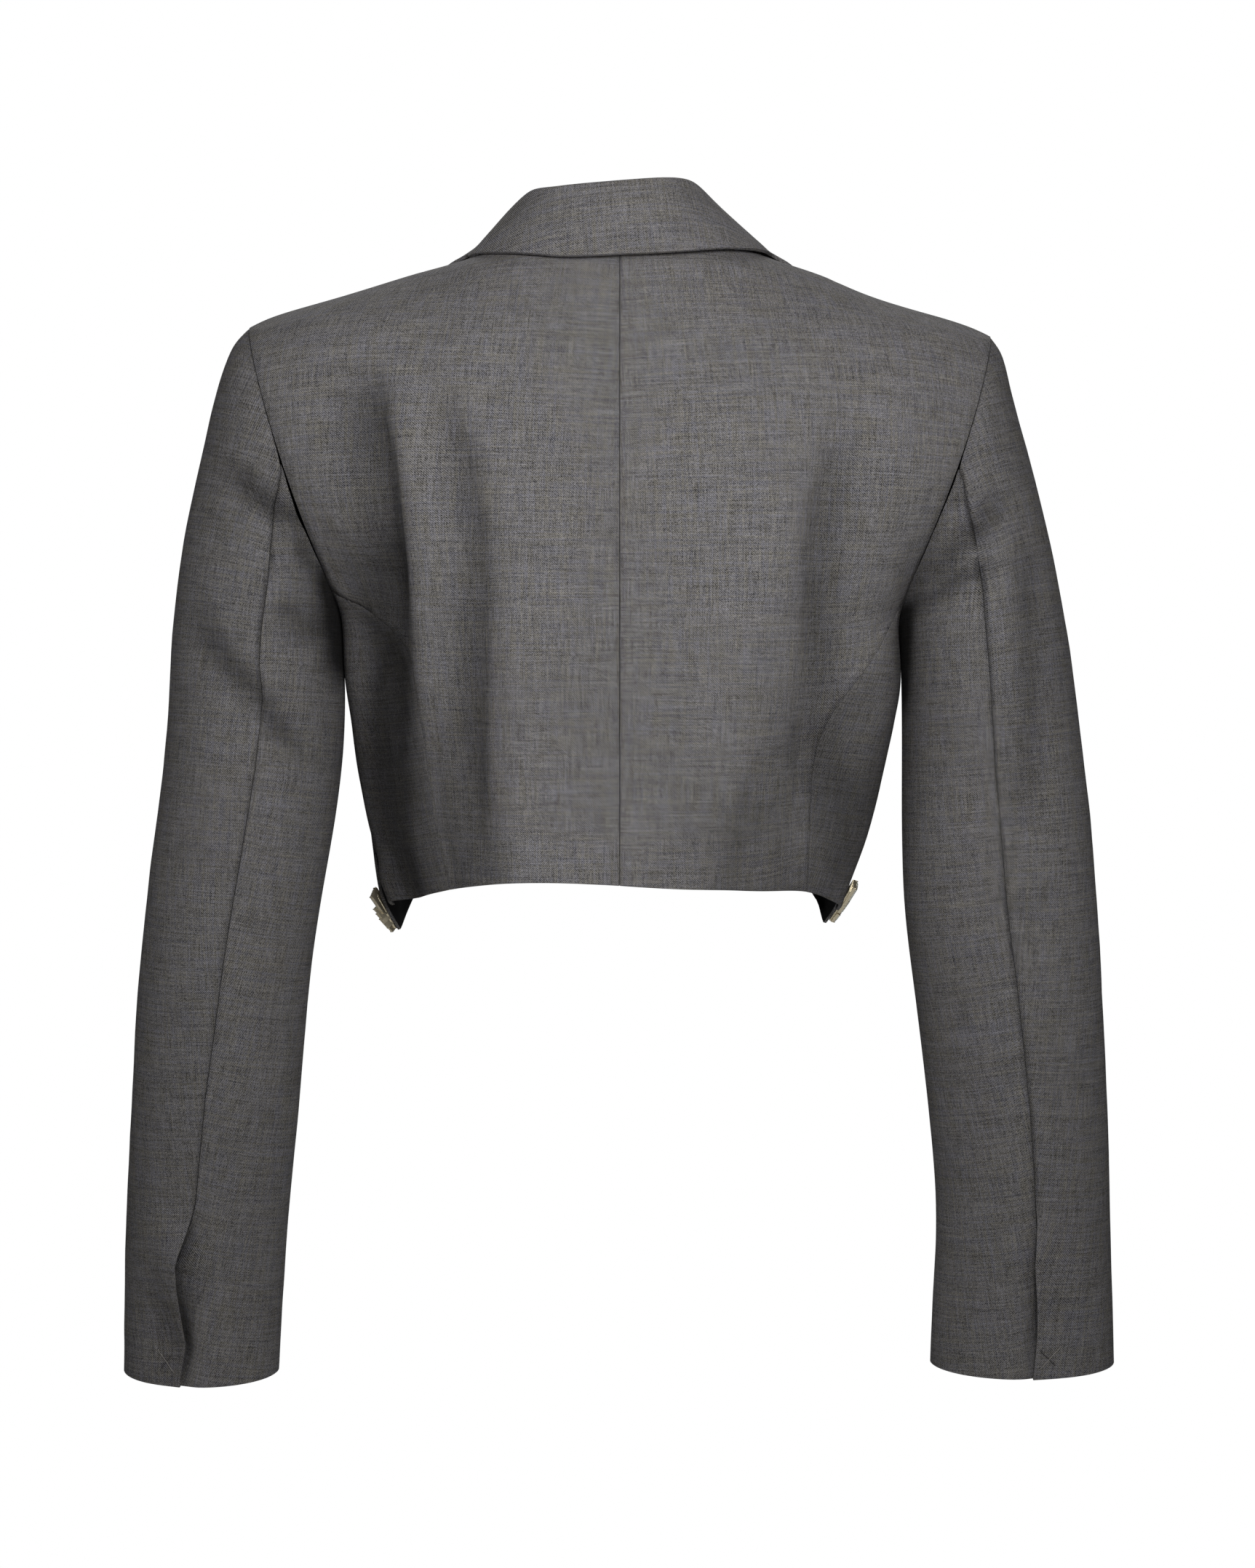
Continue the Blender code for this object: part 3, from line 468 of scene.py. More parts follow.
BACK_CREASES = (
    Crease(((128, -52), (123, -98), (118, -119), (116, -139), (115, -159), (114, -199), (112, -239),
            (108, -310)), 6.5, 12, 8),
    Crease(((142, -52), (139, -98), (134, -119), (131, -139), (130, -159), (131, -190), (134, -225)),
           -12.0, 11, 24),
    Crease(((132, -130), (134, -190), (136, -225), (136, -265), (130, -300), (117, -345), (98, -460)),
           -14.0, 29, 34),
    Crease(((80, -60), (72, -98), (64, -122), (58, -163), (57, -204), (57, -245), (58, -300), (54, -400)),
           3.0, 13, 9),
    Crease(((106, -50), (96, -84), (87.5, -122), (81.5, -163), (80.5, -204), (81, -245), (83, -286),
            (82, -325), (80, -365)), -8.6, 8, 10),
    Crease(((98, -225), (94, -270), (86, -310), (78, -345), (66, -460)), -4.5, 16, 24),
    Crease(((-100, -90), (-94, -125), (-84, -170), (-74, -220), (-62, -290), (-48, -360), (-30, -460)),
           3.5, 20, 12),
    Crease(((-130, -70), (-121, -121), (-112, -160), (-111, -200), (-110, -245), (-109, -300), (-107, -355)),
           -8.0, 10, 17),
    Crease(((-120, -220), (-116, -275), (-112, -310), (-106, -340), (-94, -460)), -8.0, 38, 30),
    Crease(((-60, -20), (-110, -60), (-150, -92)), -1.0, 10, 12),
    Crease(((60, -18), (105, -52), (130, -80)), -0.8, 11, 9),
)
UNDERARM = (
    Crease(((157, -168), (156, -215), (152, -264)), 1.5, 14, 14),
    Crease(((-157, -168), (-156, -215), (-152, -264)), 1.5, 14, 14),
)
FRONT_CREASES = (
    Crease(((120, -70), (112, -130), (118, -200), (112, -260)), -2.6, 12, 16),
    Crease(((-124, -66), (-114, -140), (-120, -215), (-116, -262)), -2.2, 14, 13),
    Crease(((10, -256), (52, -236), (96, -228)), -1.6, 8, 9),
    Crease(((-14, -252), (-60, -240), (-104, -214)), -1.3, 9, 8),
    Crease(((20, -262), (60, -286), (92, -306)), -1.1, 8, 8),
)
# Rows of painted shade that move no cloth: darker at the edges of the flanks, where the sleeves shade them.
EDGE_SHADE = (
    Crease(((126, -190), (130, -225), (132, -246), (136, -267), (141, -287), (139, -308), (137, -328),
            (132, -345), (124, -420)), -9.5, 10, 20),
    Crease(((-129, -275), (-134, -308), (-131, -328), (-127, -349), (-124, -365)), -5.0, 9, 16),
)
# More rows of painted shade on the back and sides; rows with a positive depth take painted shade away.
BACK_SHADE = EDGE_SHADE + (
    Crease(((120, -200), (116, -246), (113, -267), (112, -287), (110, -308), (107.5, -328), (105, -349),
            (98, -440)), 7.5, 6, 22),
    Crease(((88, -185), (89, -225), (89, -246), (87, -285)), -2.6, 9, 12),
    Crease(((-112, -170), (-114, -205), (-115, -225), (-116, -262)), -3.0, 6, 10),
    Crease(((-106, -210), (-105, -246), (-105, -287), (-104, -308), (-102, -365)), 7.0, 8, 11),
    Crease(((-78, -262), (-71, -287), (-63, -308), (-57, -328), (-54, -349), (-50, -480)), -7.5, 30, 18),
)
Point = namedtuple("Point", "tip low slope steeper")
POINTS = {"left": Point(124.5, -379.7, 1.4, 2.4), "right": Point(-116.2, -375.8, 1.2, 4.2)}
Rise = namedtuple("Rise", "high x wide top over low edge")
RIGHT_RISE = Rise(3.6, -106, 22, -290, 60, -372, 12)
POINT_UP, POINT_REACH, POINT_OVER, POINT_FADE = 8.0, 42, 30, 15
SIDE_SEAM_TOP, SIDE_SEAM_BEYOND = -0.200, 0.070


def trim_hem(piece, side, front):
    """Draws up the right back hem beside its point, and cuts each front away more steeply at its point."""
    point, rise = POINTS[side], RIGHT_RISE
    for corner in piece.data.vertices:
        x, _, z = corner.co / MM
        if side == "right":
            up = rise.high * MM * np.exp(-((x - rise.x) / rise.wide) ** 2)
            corner.co.z += up * ease((rise.top - z) / rise.over) * ease((z - rise.low) / rise.edge)
        inward = abs(point.tip) - abs(x)
        if front and inward > 0:
            up = min((point.steeper - point.slope) * inward, POINT_UP)
            up *= ease((POINT_REACH - inward) / POINT_OVER)
            above = max(z - point.low - point.slope * inward, 0)
            corner.co.z += up * MM * np.exp(-(above / POINT_FADE) ** 2)


def soften_seam(piece, kept):
    """Paints less seam shade along the pressed side-back seam than along the other seams."""
    for corner, mark in zip(piece.data.vertices, piece.data.attributes["seam"].data):
        if corner.co.z < SIDE_SEAM_TOP and abs(corner.co.x) > SIDE_SEAM_BEYOND:
            mark.value *= kept


suiting = wool("wool_twill", 1.0)
lining = satin("black_lining")
for side in ("left", "right"):
    back = panel("back_" + side, (suiting, lining), body_middle)
    hang(back, body_outward, BACK_CREASES, FRONT_CREASES, UNDERARM, BACK_SHADE, held_at=sleeve_walls(side))
    trim_hem(back, side, False)
    soften_seam(back, kept=0.45)
    sew(back, "back_" + side)

# Side panels: narrow pieces of the same wool that turn under the arm from the slanting side-back seam to the
# front. They hang in the shade of the sleeves, with a soft hollow below the armhole.
# A darker copy of the same wool for the side panels: painted shade, for the shade of the sleeves.
shaded_suiting = wool("wool_twill_shaded", 0.95)
SIDE_CREASES = (
    Crease(((140, -215), (134, -270), (126, -330)), -1.6, 10, 14),
    Crease(((-140, -222), (-136, -275), (-128, -335)), -1.2, 11, 13),
)
SLIT_TOP, SLIT_OVER, SLIT_LEVEL = -0.338, 0.016, 0.002
SLIT_DRAWN, SLIT_REACH = 0.0036, 0.009


def close_slit(piece):
    """Lets the free edge of the left side panel lie nearer to the front, above the hem point."""
    low = [corner for corner in piece.data.vertices if corner.co.z < SLIT_TOP + SLIT_LEVEL]
    edges = [max(other.co.x for other in low if abs(other.co.z - corner.co.z) < SLIT_LEVEL) for corner in low]
    for corner, edge in zip(low, edges):
        drawn = SLIT_DRAWN * ease((SLIT_TOP - corner.co.z) / SLIT_OVER)
        corner.co.x += drawn * np.exp(-((edge - corner.co.x) / SLIT_REACH) ** 2)


for side in ("left", "right"):
    flank = panel("side_" + side, (shaded_suiting, lining), body_middle)
    hang(flank, body_outward, BACK_CREASES + SIDE_CREASES, FRONT_CREASES, UNDERARM, BACK_SHADE,
         held_at=sleeve_walls(side), most=1.6)
    trim_hem(flank, side, False)
    soften_seam(flank, kept=0.3)
    if side == "left":
        close_slit(flank)
    sew(flank, "side_" + side)

# Fronts: cut away from the button to a point at each side seam, right over left, faced with their own wool
# where the lapels turn and lined elsewhere. Light drag lines run from the button and from the armholes.
for side in ("left", "right"):
    front = panel("front_" + side, (suiting, lining), body_middle)
    hang(front, body_outward, BACK_CREASES, FRONT_CREASES, UNDERARM, EDGE_SHADE, held_at=sleeve_walls(side),
         most=1.75)
    trim_hem(front, side, True)
    sew(front, "front_" + side)

# Lapels: the notched facings of the fronts, cut from the same wool. Each is turned back on its front along
# the roll and pressed flat, with a soft edge.
for side in ("left", "right"):
    lapel = panel("lapel_" + side, (suiting,), body_middle)
    hang(lapel, body_outward, (), FRONT_CREASES, slack=0.2)
    sew(lapel, "lapel_" + side)

# Collar: stand and fall in one piece of wool folded over at the top, sewn to the neck edge along the stand.
# The fall sits lower on the left, and its edge lies close on the back.
COLLAR_X = (-100, -80, -61, -44, 0, 32, 58, 80, 100)
COLLAR_DROP = (4.5, 1.8, 0.8, 1.2, 2.5, 4.4, 4.0, 4.4, 5.5)
COLLAR_TOP, COLLAR_EDGE = 0.040, -0.004
COLLAR_ENDS, COLLAR_OVER = -0.02, 0.03
COLLAR_OUTSIDE, COLLAR_NEAR, COLLAR_CLEAR = 0.0026, 0.01, 0.0008
collar = panel("collar", (suiting,), body_middle, rim_angle=60.0)
hang(collar, body_outward, (), (), slack=0.25)
for corner in collar.data.vertices:
    out = Vector((corner.co.x, max(corner.co.y, 0.0), 0)).normalized()
    if corner.co.y > COLLAR_ENDS and not walls["collar"].ray_cast(corner.co + out * COLLAR_OUTSIDE, out)[0]:
        share = np.clip((COLLAR_TOP - corner.co.z) / (COLLAR_TOP - COLLAR_EDGE), 0, 1)
        share *= ease((corner.co.y - COLLAR_ENDS) / COLLAR_OVER)
        corner.co.z -= share * share * np.interp(corner.co.x / MM, COLLAR_X, COLLAR_DROP) * MM
        for name in ("back_left", "back_right"):
            place, facing, _, _ = walls[name].find_nearest(corner.co, COLLAR_NEAR)
            if place and (corner.co - place).dot(facing) < COLLAR_CLEAR and facing.y > 0.2:
                corner.co += facing * (COLLAR_CLEAR - (corner.co - place).dot(facing))
sew(collar, "collar")

# Sleeves: two-piece, set in at the armhole, the top sleeve outside and the under sleeve inside, lined and
# open at a vent above the cuff. Folds gather below the armhole and slant across behind the elbow.
SLEEVE_Z = np.array((-634, -599, -547, -481, -415, -365, -315, -270, -235, -120)) * MM
SLEEVE_X = {
    "left": np.array((240.5, 238.8, 236, 230.2, 225, 218.5, 211, 205.7, 203.5, 190)) * MM,
    "right": -np.array((231, 230.8, 230.6, 226.5, 220.1, 215.2, 212.7, 209.7, 203.8, 188)) * MM,
}
SLEEVE_Y = np.array((-48, -41, -31, -18, -6, 1, 4, 4, 2, 0)) * MM
SLEEVE_CREASES = {
    "left": (
        Crease(((228, -112), (222, -119), (206, -135), (190, -145), (178, -149), (150, -158)), -6.0, 7, 7),
        Crease(((214, -142), (200, -153), (186, -160), (172, -164)), 3.0, 7, 7),
        Crease(((186, -152), (176, -166), (168, -178), (154, -198)), -5.0, 6, 6),
        Crease(((188, -192), (178, -206), (166, -220)), -4.0, 9, 10),
        Crease(((248, -192), (240, -204), (227, -223), (215, -237), (199, -254), (184, -271), (175, -284),
                (168, -296)), -5.4, 7, 8),
        Crease(((210, -262), (194, -282), (180, -306)), 3.0, 8, 8),
        Crease(((256, -330), (222, -352), (196, -350)), -0.8, 9, 9),
        Crease(((262, -420), (232, -440), (206, -432)), -0.7, 9, 9),
        Crease(((258, -500), (230, -508), (208, -496)), -0.6, 8, 8),
        Crease(((274, -538), (260, -552), (250, -566), (249, -580)), 2.4, 8, 10),
        Crease(((270, -572), (262, -592), (258, -612), (257, -650)), -2.6, 7, 9),
    ),
    "right": (
        Crease(((-150, -206), (-174, -194), (-182, -187), (-201, -177), (-212, -172)), -5.0, 4.5, 4.5),
        Crease(((-160, -196), (-179, -174), (-189, -161), (-201, -149), (-213, -141), (-224, -136)),
               -4.6, 7, 7),
        Crease(((-229, -140), (-229, -202), (-232, -247), (-231, -289), (-226, -350)), -3.0, 9, 9),
        Crease(((-250, -350), (-222, -372), (-196, -366)), -0.8, 9, 9),
        Crease(((-256, -445), (-228, -462), (-202, -452)), -0.7, 9, 9),
        Crease(((-256, -520), (-226, -532), (-202, -520)), -0.6, 8, 8),
    ),
}
# Painted shade that moves no cloth: the dark hollows between each sleeve and the body.
ARMPIT_SHADE = {
    "left": (Crease(((161, -168), (161, -195), (159, -215), (155, -252)), -10.0, 8, 8),),
    "right": (Crease(((-161, -186), (-161, -205), (-160, -228), (-158, -270)), -11.0, 4.5, 4.5),),
}
SLEEVE_FRONT_CREASES = {
    "left": (
        Crease(((238, -130), (212, -150), (188, -180)), -2.4, 10, 12),
        Crease(((246, -300), (218, -318), (190, -312)), -2.4, 8, 10),
        Crease(((248, -335), (222, -348), (196, -338)), -1.8, 8, 9),
        Crease(((250, -372), (224, -380), (200, -368)), -1.3, 8, 8),
    ),
    "right": (
        Crease(((-236, -126), (-210, -148), (-186, -176)), -2.2, 10, 12),
        Crease(((-246, -306), (-216, -322), (-190, -318)), -2.3, 9, 9),
        Crease(((-250, -344), (-222, -352), (-196, -346)), -1.6, 8, 9),
        Crease(((-250, -384), (-224, -392), (-202, -378)), -1.2, 8, 8),
    ),
}
Vent = namedtuple("Vent", "z edge aside lift tuck", defaults=(0.0, 0.0))
VENTS = {
    "left": (
        Vent(-645, 250.5, -2.0, 0.6), Vent(-636, 251.0, -2.5, 0.8), Vent(-617, 252.4, -7.0, 1.4),
        Vent(-600, 251.6, -3.9, 2.0), Vent(-582, 249.5, 0.3, 3.0, 2.6), Vent(-571, 247.5, 2.0, 3.4, 4.4),
        Vent(-560, 245.0, 0.6, 2.4, 2.8), Vent(-546, 243.6, -1.6, 0.9, 0.2), Vent(-534, 242.5, -3.2),
        Vent(-513, 240.6, -2.2), Vent(-472, 235.7, 0.0), Vent(-400, 222.0, 0.0), Vent(-290, 206.9, -2.6),
        Vent(-248, 204.9, -3.5), Vent(-231, 203.9, 0.0), Vent(-191, 200.0, 0.9), Vent(-170, 194.3, 3.1),
        Vent(-142, 191.4, 2.6), Vent(-125, 190.0, 0.0),
    ),
    "right": (
        Vent(-645, -241.5, 4.4, 0.4), Vent(-632, -241.5, 4.6, 0.8), Vent(-605, -241.0, 5.2, 1.2),
        Vent(-585, -240.3, 5.0, 1.6, 2.4), Vent(-571, -238.5, 4.3, 1.8, 4.4),
        Vent(-560, -237.2, 2.0, 1.4, 2.8), Vent(-546, -236.6, 0.0, 0.6, 0.2), Vent(-534, -236.0, 0.0),
        Vent(-400, -222.0, 0.0), Vent(-289, -215.9, 4.0), Vent(-242, -212.0, 2.0), Vent(-210, -207.2, -1.0),
        Vent(-179, -201.0, -6.5), Vent(-165, -198.5, -8.0), Vent(-153, -196.1, -6.5),
        Vent(-137, -194.7, -2.0), Vent(-125, -192.0, 0.0),
    ),
}
# Painted shade: the sleeves grow darker below the first height, towards the cuffs.
LOWER_TOP, LOWER_OVER, LOWER_PAINTED_SHADE = -0.33, 0.25, 0.3
SLEEVE_FREE, SLEEVE_FREE_OVER, SLEEVE_HELD = 0.165, 0.02, 0.02
# Crease depth at which the painted fold shade is full on the sleeves, and the most it may reach.
SLEEVE_SHADE_FULL, SLEEVE_SHADE_MOST = 0.0052, 1.75
# The first two paint a shadow on the under sleeve beside the lifted flap; the last two tuck the cloth under
# it.
UNDER_PAINTED_SHADOW, UNDER_SHADOW_LIFT, UNDER_IN, UNDER_LIFT = 1.5, 1.6, 0.35, 0.9
SLEEVE_CUTS = {"top_sleeve_": ((0.205, 0.640), 0.100), "under_sleeve_": ((0.150, 0.580), 0.071)}


def sleeve_middle(spot, side):
    return (float(np.interp(spot[2], SLEEVE_Z, SLEEVE_X[side])),
            float(np.interp(spot[2], SLEEVE_Z, SLEEVE_Y)), spot[2])


def sleeve_outward(spots, side):
    """Level directions away from the middle line of a sleeve, short where it is sewn to the body."""
    out = np.c_[spots[:, 0] - np.interp(spots[:, 2], SLEEVE_Z, SLEEVE_X[side]),
                spots[:, 1] - np.interp(spots[:, 2], SLEEVE_Z, SLEEVE_Y), np.zeros(len(spots))]
    out /= np.maximum(np.hypot(out[:, 0], out[:, 1]), 1e-9)[:, None]
    free = ease((np.abs(spots[:, 0]) - SLEEVE_FREE) / SLEEVE_FREE_OVER)
    return out * np.maximum(free, SLEEVE_HELD)[:, None]


def spread(off, outer, inner):
    """Share of a move at a distance from the vent's edge, with a width of its own on either side."""
    return np.exp(-(off / (outer if off > 0 else inner)) ** 2)


def draw_vent(piece, flap, side):
    """Draws the cloth at the vent aside along its edge, lifts the flap and tucks the cloth below under it.
    Also paints shade towards the cuff, and a shadow beside the flap's edge.
    """
    mesh = piece.data
    turn = 1 if side == "left" else -1
    shaded = mesh.attributes["fold"].data
    heights = [mark.z for mark in VENTS[side]]
    for corner in mesh.vertices:
        edge, aside, lift, tuck = (np.interp(corner.co.z / MM, heights, [mark[k] for mark in VENTS[side]])
                                   for k in (1, 2, 3, 4))
        off = turn * (corner.co.x / MM - edge)
        # Painted shade, darker towards the cuff.
        shaded[corner.index].value += LOWER_PAINTED_SHADE * ease((LOWER_TOP - corner.co.z) / LOWER_OVER)
        if corner.co.y > sleeve_middle(corner.co, side)[1]:
            corner.co.x += aside * MM * spread(off, outer=17, inner=9)
            if flap:
                corner.co.y += lift * MM * spread(off, outer=13, inner=5)
            else:
                drawn = tuck * MM * spread(off + 2, outer=7, inner=7)
                corner.co.x += turn * drawn
                corner.co.y -= UNDER_IN * drawn + UNDER_LIFT * lift * MM * spread(off + 2, outer=6, inner=6)
                # Painted shadow beside the flap's edge, deeper where the flap is lifted more.
                shade = min(lift / UNDER_SHADOW_LIFT, 1.0) * spread(off, outer=9, inner=5)
                shaded[corner.index].value = max(shaded[corner.index].value, UNDER_PAINTED_SHADOW * shade)


# A darker copy of the same wool for the sleeves: painted shade.
shaded_sleeve_suiting = wool("wool_twill_sleeve_shaded", 0.8)
for side in ("left", "right"):
    for half, (flat, area) in SLEEVE_CUTS.items():
        sleeve = panel(half + side, (shaded_sleeve_suiting, lining), lambda spot: sleeve_middle(spot, side))
        hang(sleeve, lambda spots: sleeve_outward(spots, side), SLEEVE_CREASES[side],
             SLEEVE_FRONT_CREASES[side], dark=ARMPIT_SHADE[side], full=SLEEVE_SHADE_FULL, most=SLEEVE_SHADE_MOST)
        draw_vent(sleeve, half == "top_sleeve_", side)
        sew(sleeve, half + side)

# Cuff tacks: a cross of one pale and one dark thread over each vent, sewn by hand to hold the vent shut.
# Each thread lies on the top sleeve and goes through the cloth at both ends.
TACK_RADIUS, TACK_SUNK = 0.00019, 0.0005
TACK_RISE = {"pale": 2.6, "dark": 1.0}
TACK_SHARES = (0.0, 0.06, 0.35, 0.65, 0.94, 1.0)
TACKS = {
    "left": (("pale", (262.5, -618.8), (253.0, -632.4)), ("dark", (253.5, -620.9), (261.7, -631.6))),
    "right": (("pale", (-250.1, -616.8), (-237.6, -630.4)), ("dark", (-237.4, -618.4), (-247.4, -628.4))),
}


def yarn(name, colour):
    """Twisted sewing thread, its colour mottled darker: painted shade for the light and dark turn of its
    twist.
    """
    look, start = new_finish(name)
    painted_twist_shade = [share * 0.55 for share in colour]
    tint = blend(speckle(start, 2600.0, 1.0), (*painted_twist_shade, 1), (*colour, 1))
    coat(tint, {"Base Color": tint, "Roughness": 0.6})
    return look


def thread(name, places, radius, look):
    """A round thread drawn as a curve through some places, with closed ends."""
    bpy.ops.object.select_all(action="DESELECT")
    bpy.ops.curve.primitive_bezier_curve_add()
    strand = bpy.context.object
    line = strand.data.splines[0]
    line.bezier_points.add(len(places) - 2)
    for knot, place in zip(line.bezier_points, places):
        knot.co = place
        knot.handle_left_type = knot.handle_right_type = "AUTO"
    strand.data.resolution_u, strand.data.bevel_depth, strand.data.bevel_resolution = 3, radius, 2
    strand.data.use_fill_caps = True
    bpy.ops.object.convert(target="MESH")
    strand.name = strand.data.name = name
    strand.data.materials.clear()
    strand.data.materials.append(look)
    bpy.ops.object.shade_smooth()
    return strand


def joined(name, parts):
    """Several parts as one named piece at the origin."""
    bpy.ops.object.select_all(action="DESELECT")
    for part in parts:
        part.select_set(True)
    bpy.context.view_layer.objects.active = parts[0]
    bpy.ops.object.transform_apply(location=True, rotation=True, scale=True)
    if len(parts) > 1:
        bpy.ops.object.join()
    whole = bpy.context.object
    whole.name = whole.data.name = name
    return whole


worn = {}


def on_cloth(names, x, z, facing):
    """First place of the named cloths under a point in millimetres, seen from behind (1) or before (-1)."""
    found = []
    for name in names:
        if name not in worn:
            sheet = bpy.data.objects[name + "_cloth"].data
            worn[name] = BVHTree.FromPolygons([v.co for v in sheet.vertices],
                                              [f.vertices[:] for f in sheet.polygons])
        hit = worn[name].ray_cast(Vector((x * MM, 0.4 * facing, z * MM)), Vector((0, -facing, 0)))
        if hit[0]:
            found.append(hit[:2])
    return max(found, key=lambda hit: facing * hit[0].y)


thread_looks = {"pale": yarn("pale_thread", (0.24, 0.222, 0.205)),
                "dark": yarn("dark_thread", (0.03, 0.027, 0.03))}
for side, arms in TACKS.items():
    strands = []
    for shade, begin, end in arms:
        places = []
        for share in TACK_SHARES:
            spot, out = on_cloth(sleeve_walls(side), begin[0] + share * (end[0] - begin[0]),
                                 begin[1] + share * (end[1] - begin[1]), 1)
            sunk = share in (0.0, 1.0)
            places.append(spot + out * (-TACK_SUNK if sunk else TACK_RADIUS * TACK_RISE[shade]))
        strands.append(thread("tack_arm", places, TACK_RADIUS, thread_looks[shade]))
    tack = joined("cuff_tack_" + side, strands)
    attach(tack, "root")

# Hem jewels: a strip sewn outside each hem point, with one long and four square step-cut stones of pale
# backed glass. Every stone sits in a metal tray and is gripped by a claw at each corner.
Seat = namedtuple("Seat", "centre along across out length width")
STONE_TOP, STONE_FLAT = 0.0045, 0.0004
STONE_BEVEL = 0.0008
STONE_GIRDLE, STONE_CORNER, STONE_UPRIGHT = 0.0012, 0.0006, 0.001
STONE_STEPS, STONE_BACK = ((0.0005, 0.0007), (0.0005, 0.0003)), (0.0007, 0.0008)
STONE_SUNK, TRAY_SUNK = 0.0017, 0.0023
STRIP_TOP = 0.0014
TRAY_ROOM, TRAY_HIGH, TRAY_LIP, TRAY_DEEP = 0.0005, 0.0018, 0.0003, 0.0012
TRAY_BRIM, TRAY_ROUND = 0.0008, 0.0001
CLAW_RADIUS, CLAW_LONG, CLAW_IN, CLAW_Z = 0.00045, 2.4, 0.00005, 0.0007


def pick(piece, rule, kind="FACE"):
    """Goes to edit mode and selects the faces or edges that fit a rule."""
    if piece.mode == "EDIT":
        bpy.ops.object.mode_set(mode="OBJECT")
    only(piece)
    bpy.ops.object.mode_set(mode="EDIT")
    bpy.ops.mesh.select_mode(type=kind)
    bpy.ops.mesh.select_all(action="DESELECT")
    form = bmesh.from_edit_mesh(piece.data)
    for part in form.faces if kind == "FACE" else form.edges:
        part.select_set(bool(rule(part)))
    bmesh.update_edit_mesh(piece.data)


def stone_seats(band, cloth):
    """The raised flats of a band, found by their height off the cloth, in order along it."""
    form = bmesh.new()
    form.from_mesh(band.data)
    flats = [f for f in form.faces
             if walls[cloth].find_nearest(f.calc_center_median())[3] > STONE_TOP - STONE_FLAT]
    groups = []
    while flats:
        grown = [flats.pop()]
        for face in grown:
            near = [f for f in flats if set(f.verts) & set(face.verts)]
            grown += near
            flats = [f for f in flats if f not in near]
        corners = list(dict.fromkeys(v for f in grown for v in f.verts))
        centre = sum((v.co for v in corners), Vector()) / len(corners)
        out = sum((f.normal * f.calc_area() for f in grown), Vector()).normalized()
        groups.append((centre, out, [v.co.copy() for v in corners]))
    form.free()
    groups.sort(key=lambda group: -group[0].z)
    run = (groups[-1][0] - groups[0][0]).normalized()
    seats = []
    for centre, out, corners in groups:
        along = (run - out * run.dot(out)).normalized()
        across = out.cross(along)
        length, width = (float(np.ptp([corner.dot(way) for corner in corners]) + 2 * STONE_BEVEL)
                         for way in (along, across))
        seats.append(Seat(centre, along, across, out, length, width))
    return seats


def cut_stone(length, width, look):
    """A step-cut stone: block with cut corners, two steps up to the table and one down to the back."""
    bpy.ops.object.select_all(action="DESELECT")
    bpy.ops.mesh.primitive_cube_add(size=1.0)
    stone = bpy.context.object
    stone.scale = (length, width, STONE_GIRDLE)
    bpy.ops.object.transform_apply(location=True, rotation=True, scale=True)
    pick(stone, lambda edge: abs(edge.verts[0].co.z - edge.verts[1].co.z) > STONE_UPRIGHT, "EDGE")
    bpy.ops.mesh.bevel(offset=STONE_CORNER, segments=1)
    pick(stone, lambda face: face.normal.z > 0.9)
    for inward, up in STONE_STEPS:
        bpy.ops.mesh.inset(thickness=inward, depth=up)
    pick(stone, lambda face: face.normal.z < -0.9)
    bpy.ops.mesh.inset(thickness=STONE_BACK[0], depth=STONE_BACK[1])
    bpy.ops.object.mode_set(mode="OBJECT")
    stone.data.materials.append(look)
    return stone


def tray(length, width, look):
    """A metal tray with a thin lip and four claws that lean over the corners of its stone."""
    bpy.ops.object.select_all(action="DESELECT")
    bpy.ops.mesh.primitive_cube_add(size=1.0)
    cup = bpy.context.object
    cup.scale = (length + TRAY_ROOM, width + TRAY_ROOM, TRAY_HIGH)
    bpy.ops.object.transform_apply(location=True, rotation=True, scale=True)
    pick(cup, lambda face: face.normal.z > 0.9)
    bpy.ops.mesh.inset(thickness=TRAY_LIP, depth=0.0)
    bpy.ops.mesh.extrude_region_move(TRANSFORM_OT_translate={"value": (0, 0, -TRAY_DEEP)})
    pick(cup, lambda edge: min(v.co.z for v in edge.verts) > TRAY_BRIM, "EDGE")
    bpy.ops.mesh.bevel(offset=TRAY_ROUND, segments=2)
    bpy.ops.object.mode_set(mode="OBJECT")
    claws = []
    for x in (-1, 1):
        for y in (-1, 1):
            bpy.ops.object.select_all(action="DESELECT")
            bpy.ops.mesh.primitive_uv_sphere_add(segments=12, ring_count=8, radius=CLAW_RADIUS)
            claw = bpy.context.object
            claw.scale = (1, 1, CLAW_LONG)
            claw.location = (x * (length / 2 - CLAW_IN), y * (width / 2 - CLAW_IN), CLAW_Z)
            bpy.ops.object.shade_smooth()
            claws.append(claw)
    cup = joined("tray", [cup] + claws)
    cup.data.materials.clear()
    cup.data.materials.append(look)
    return cup


def copied(piece, placing):
    """A copy with a mesh of its own, set in place."""
    twin = piece.copy()
    twin.data = piece.data.copy()
    bpy.context.collection.objects.link(twin)
    twin.matrix_world = placing
    return twin


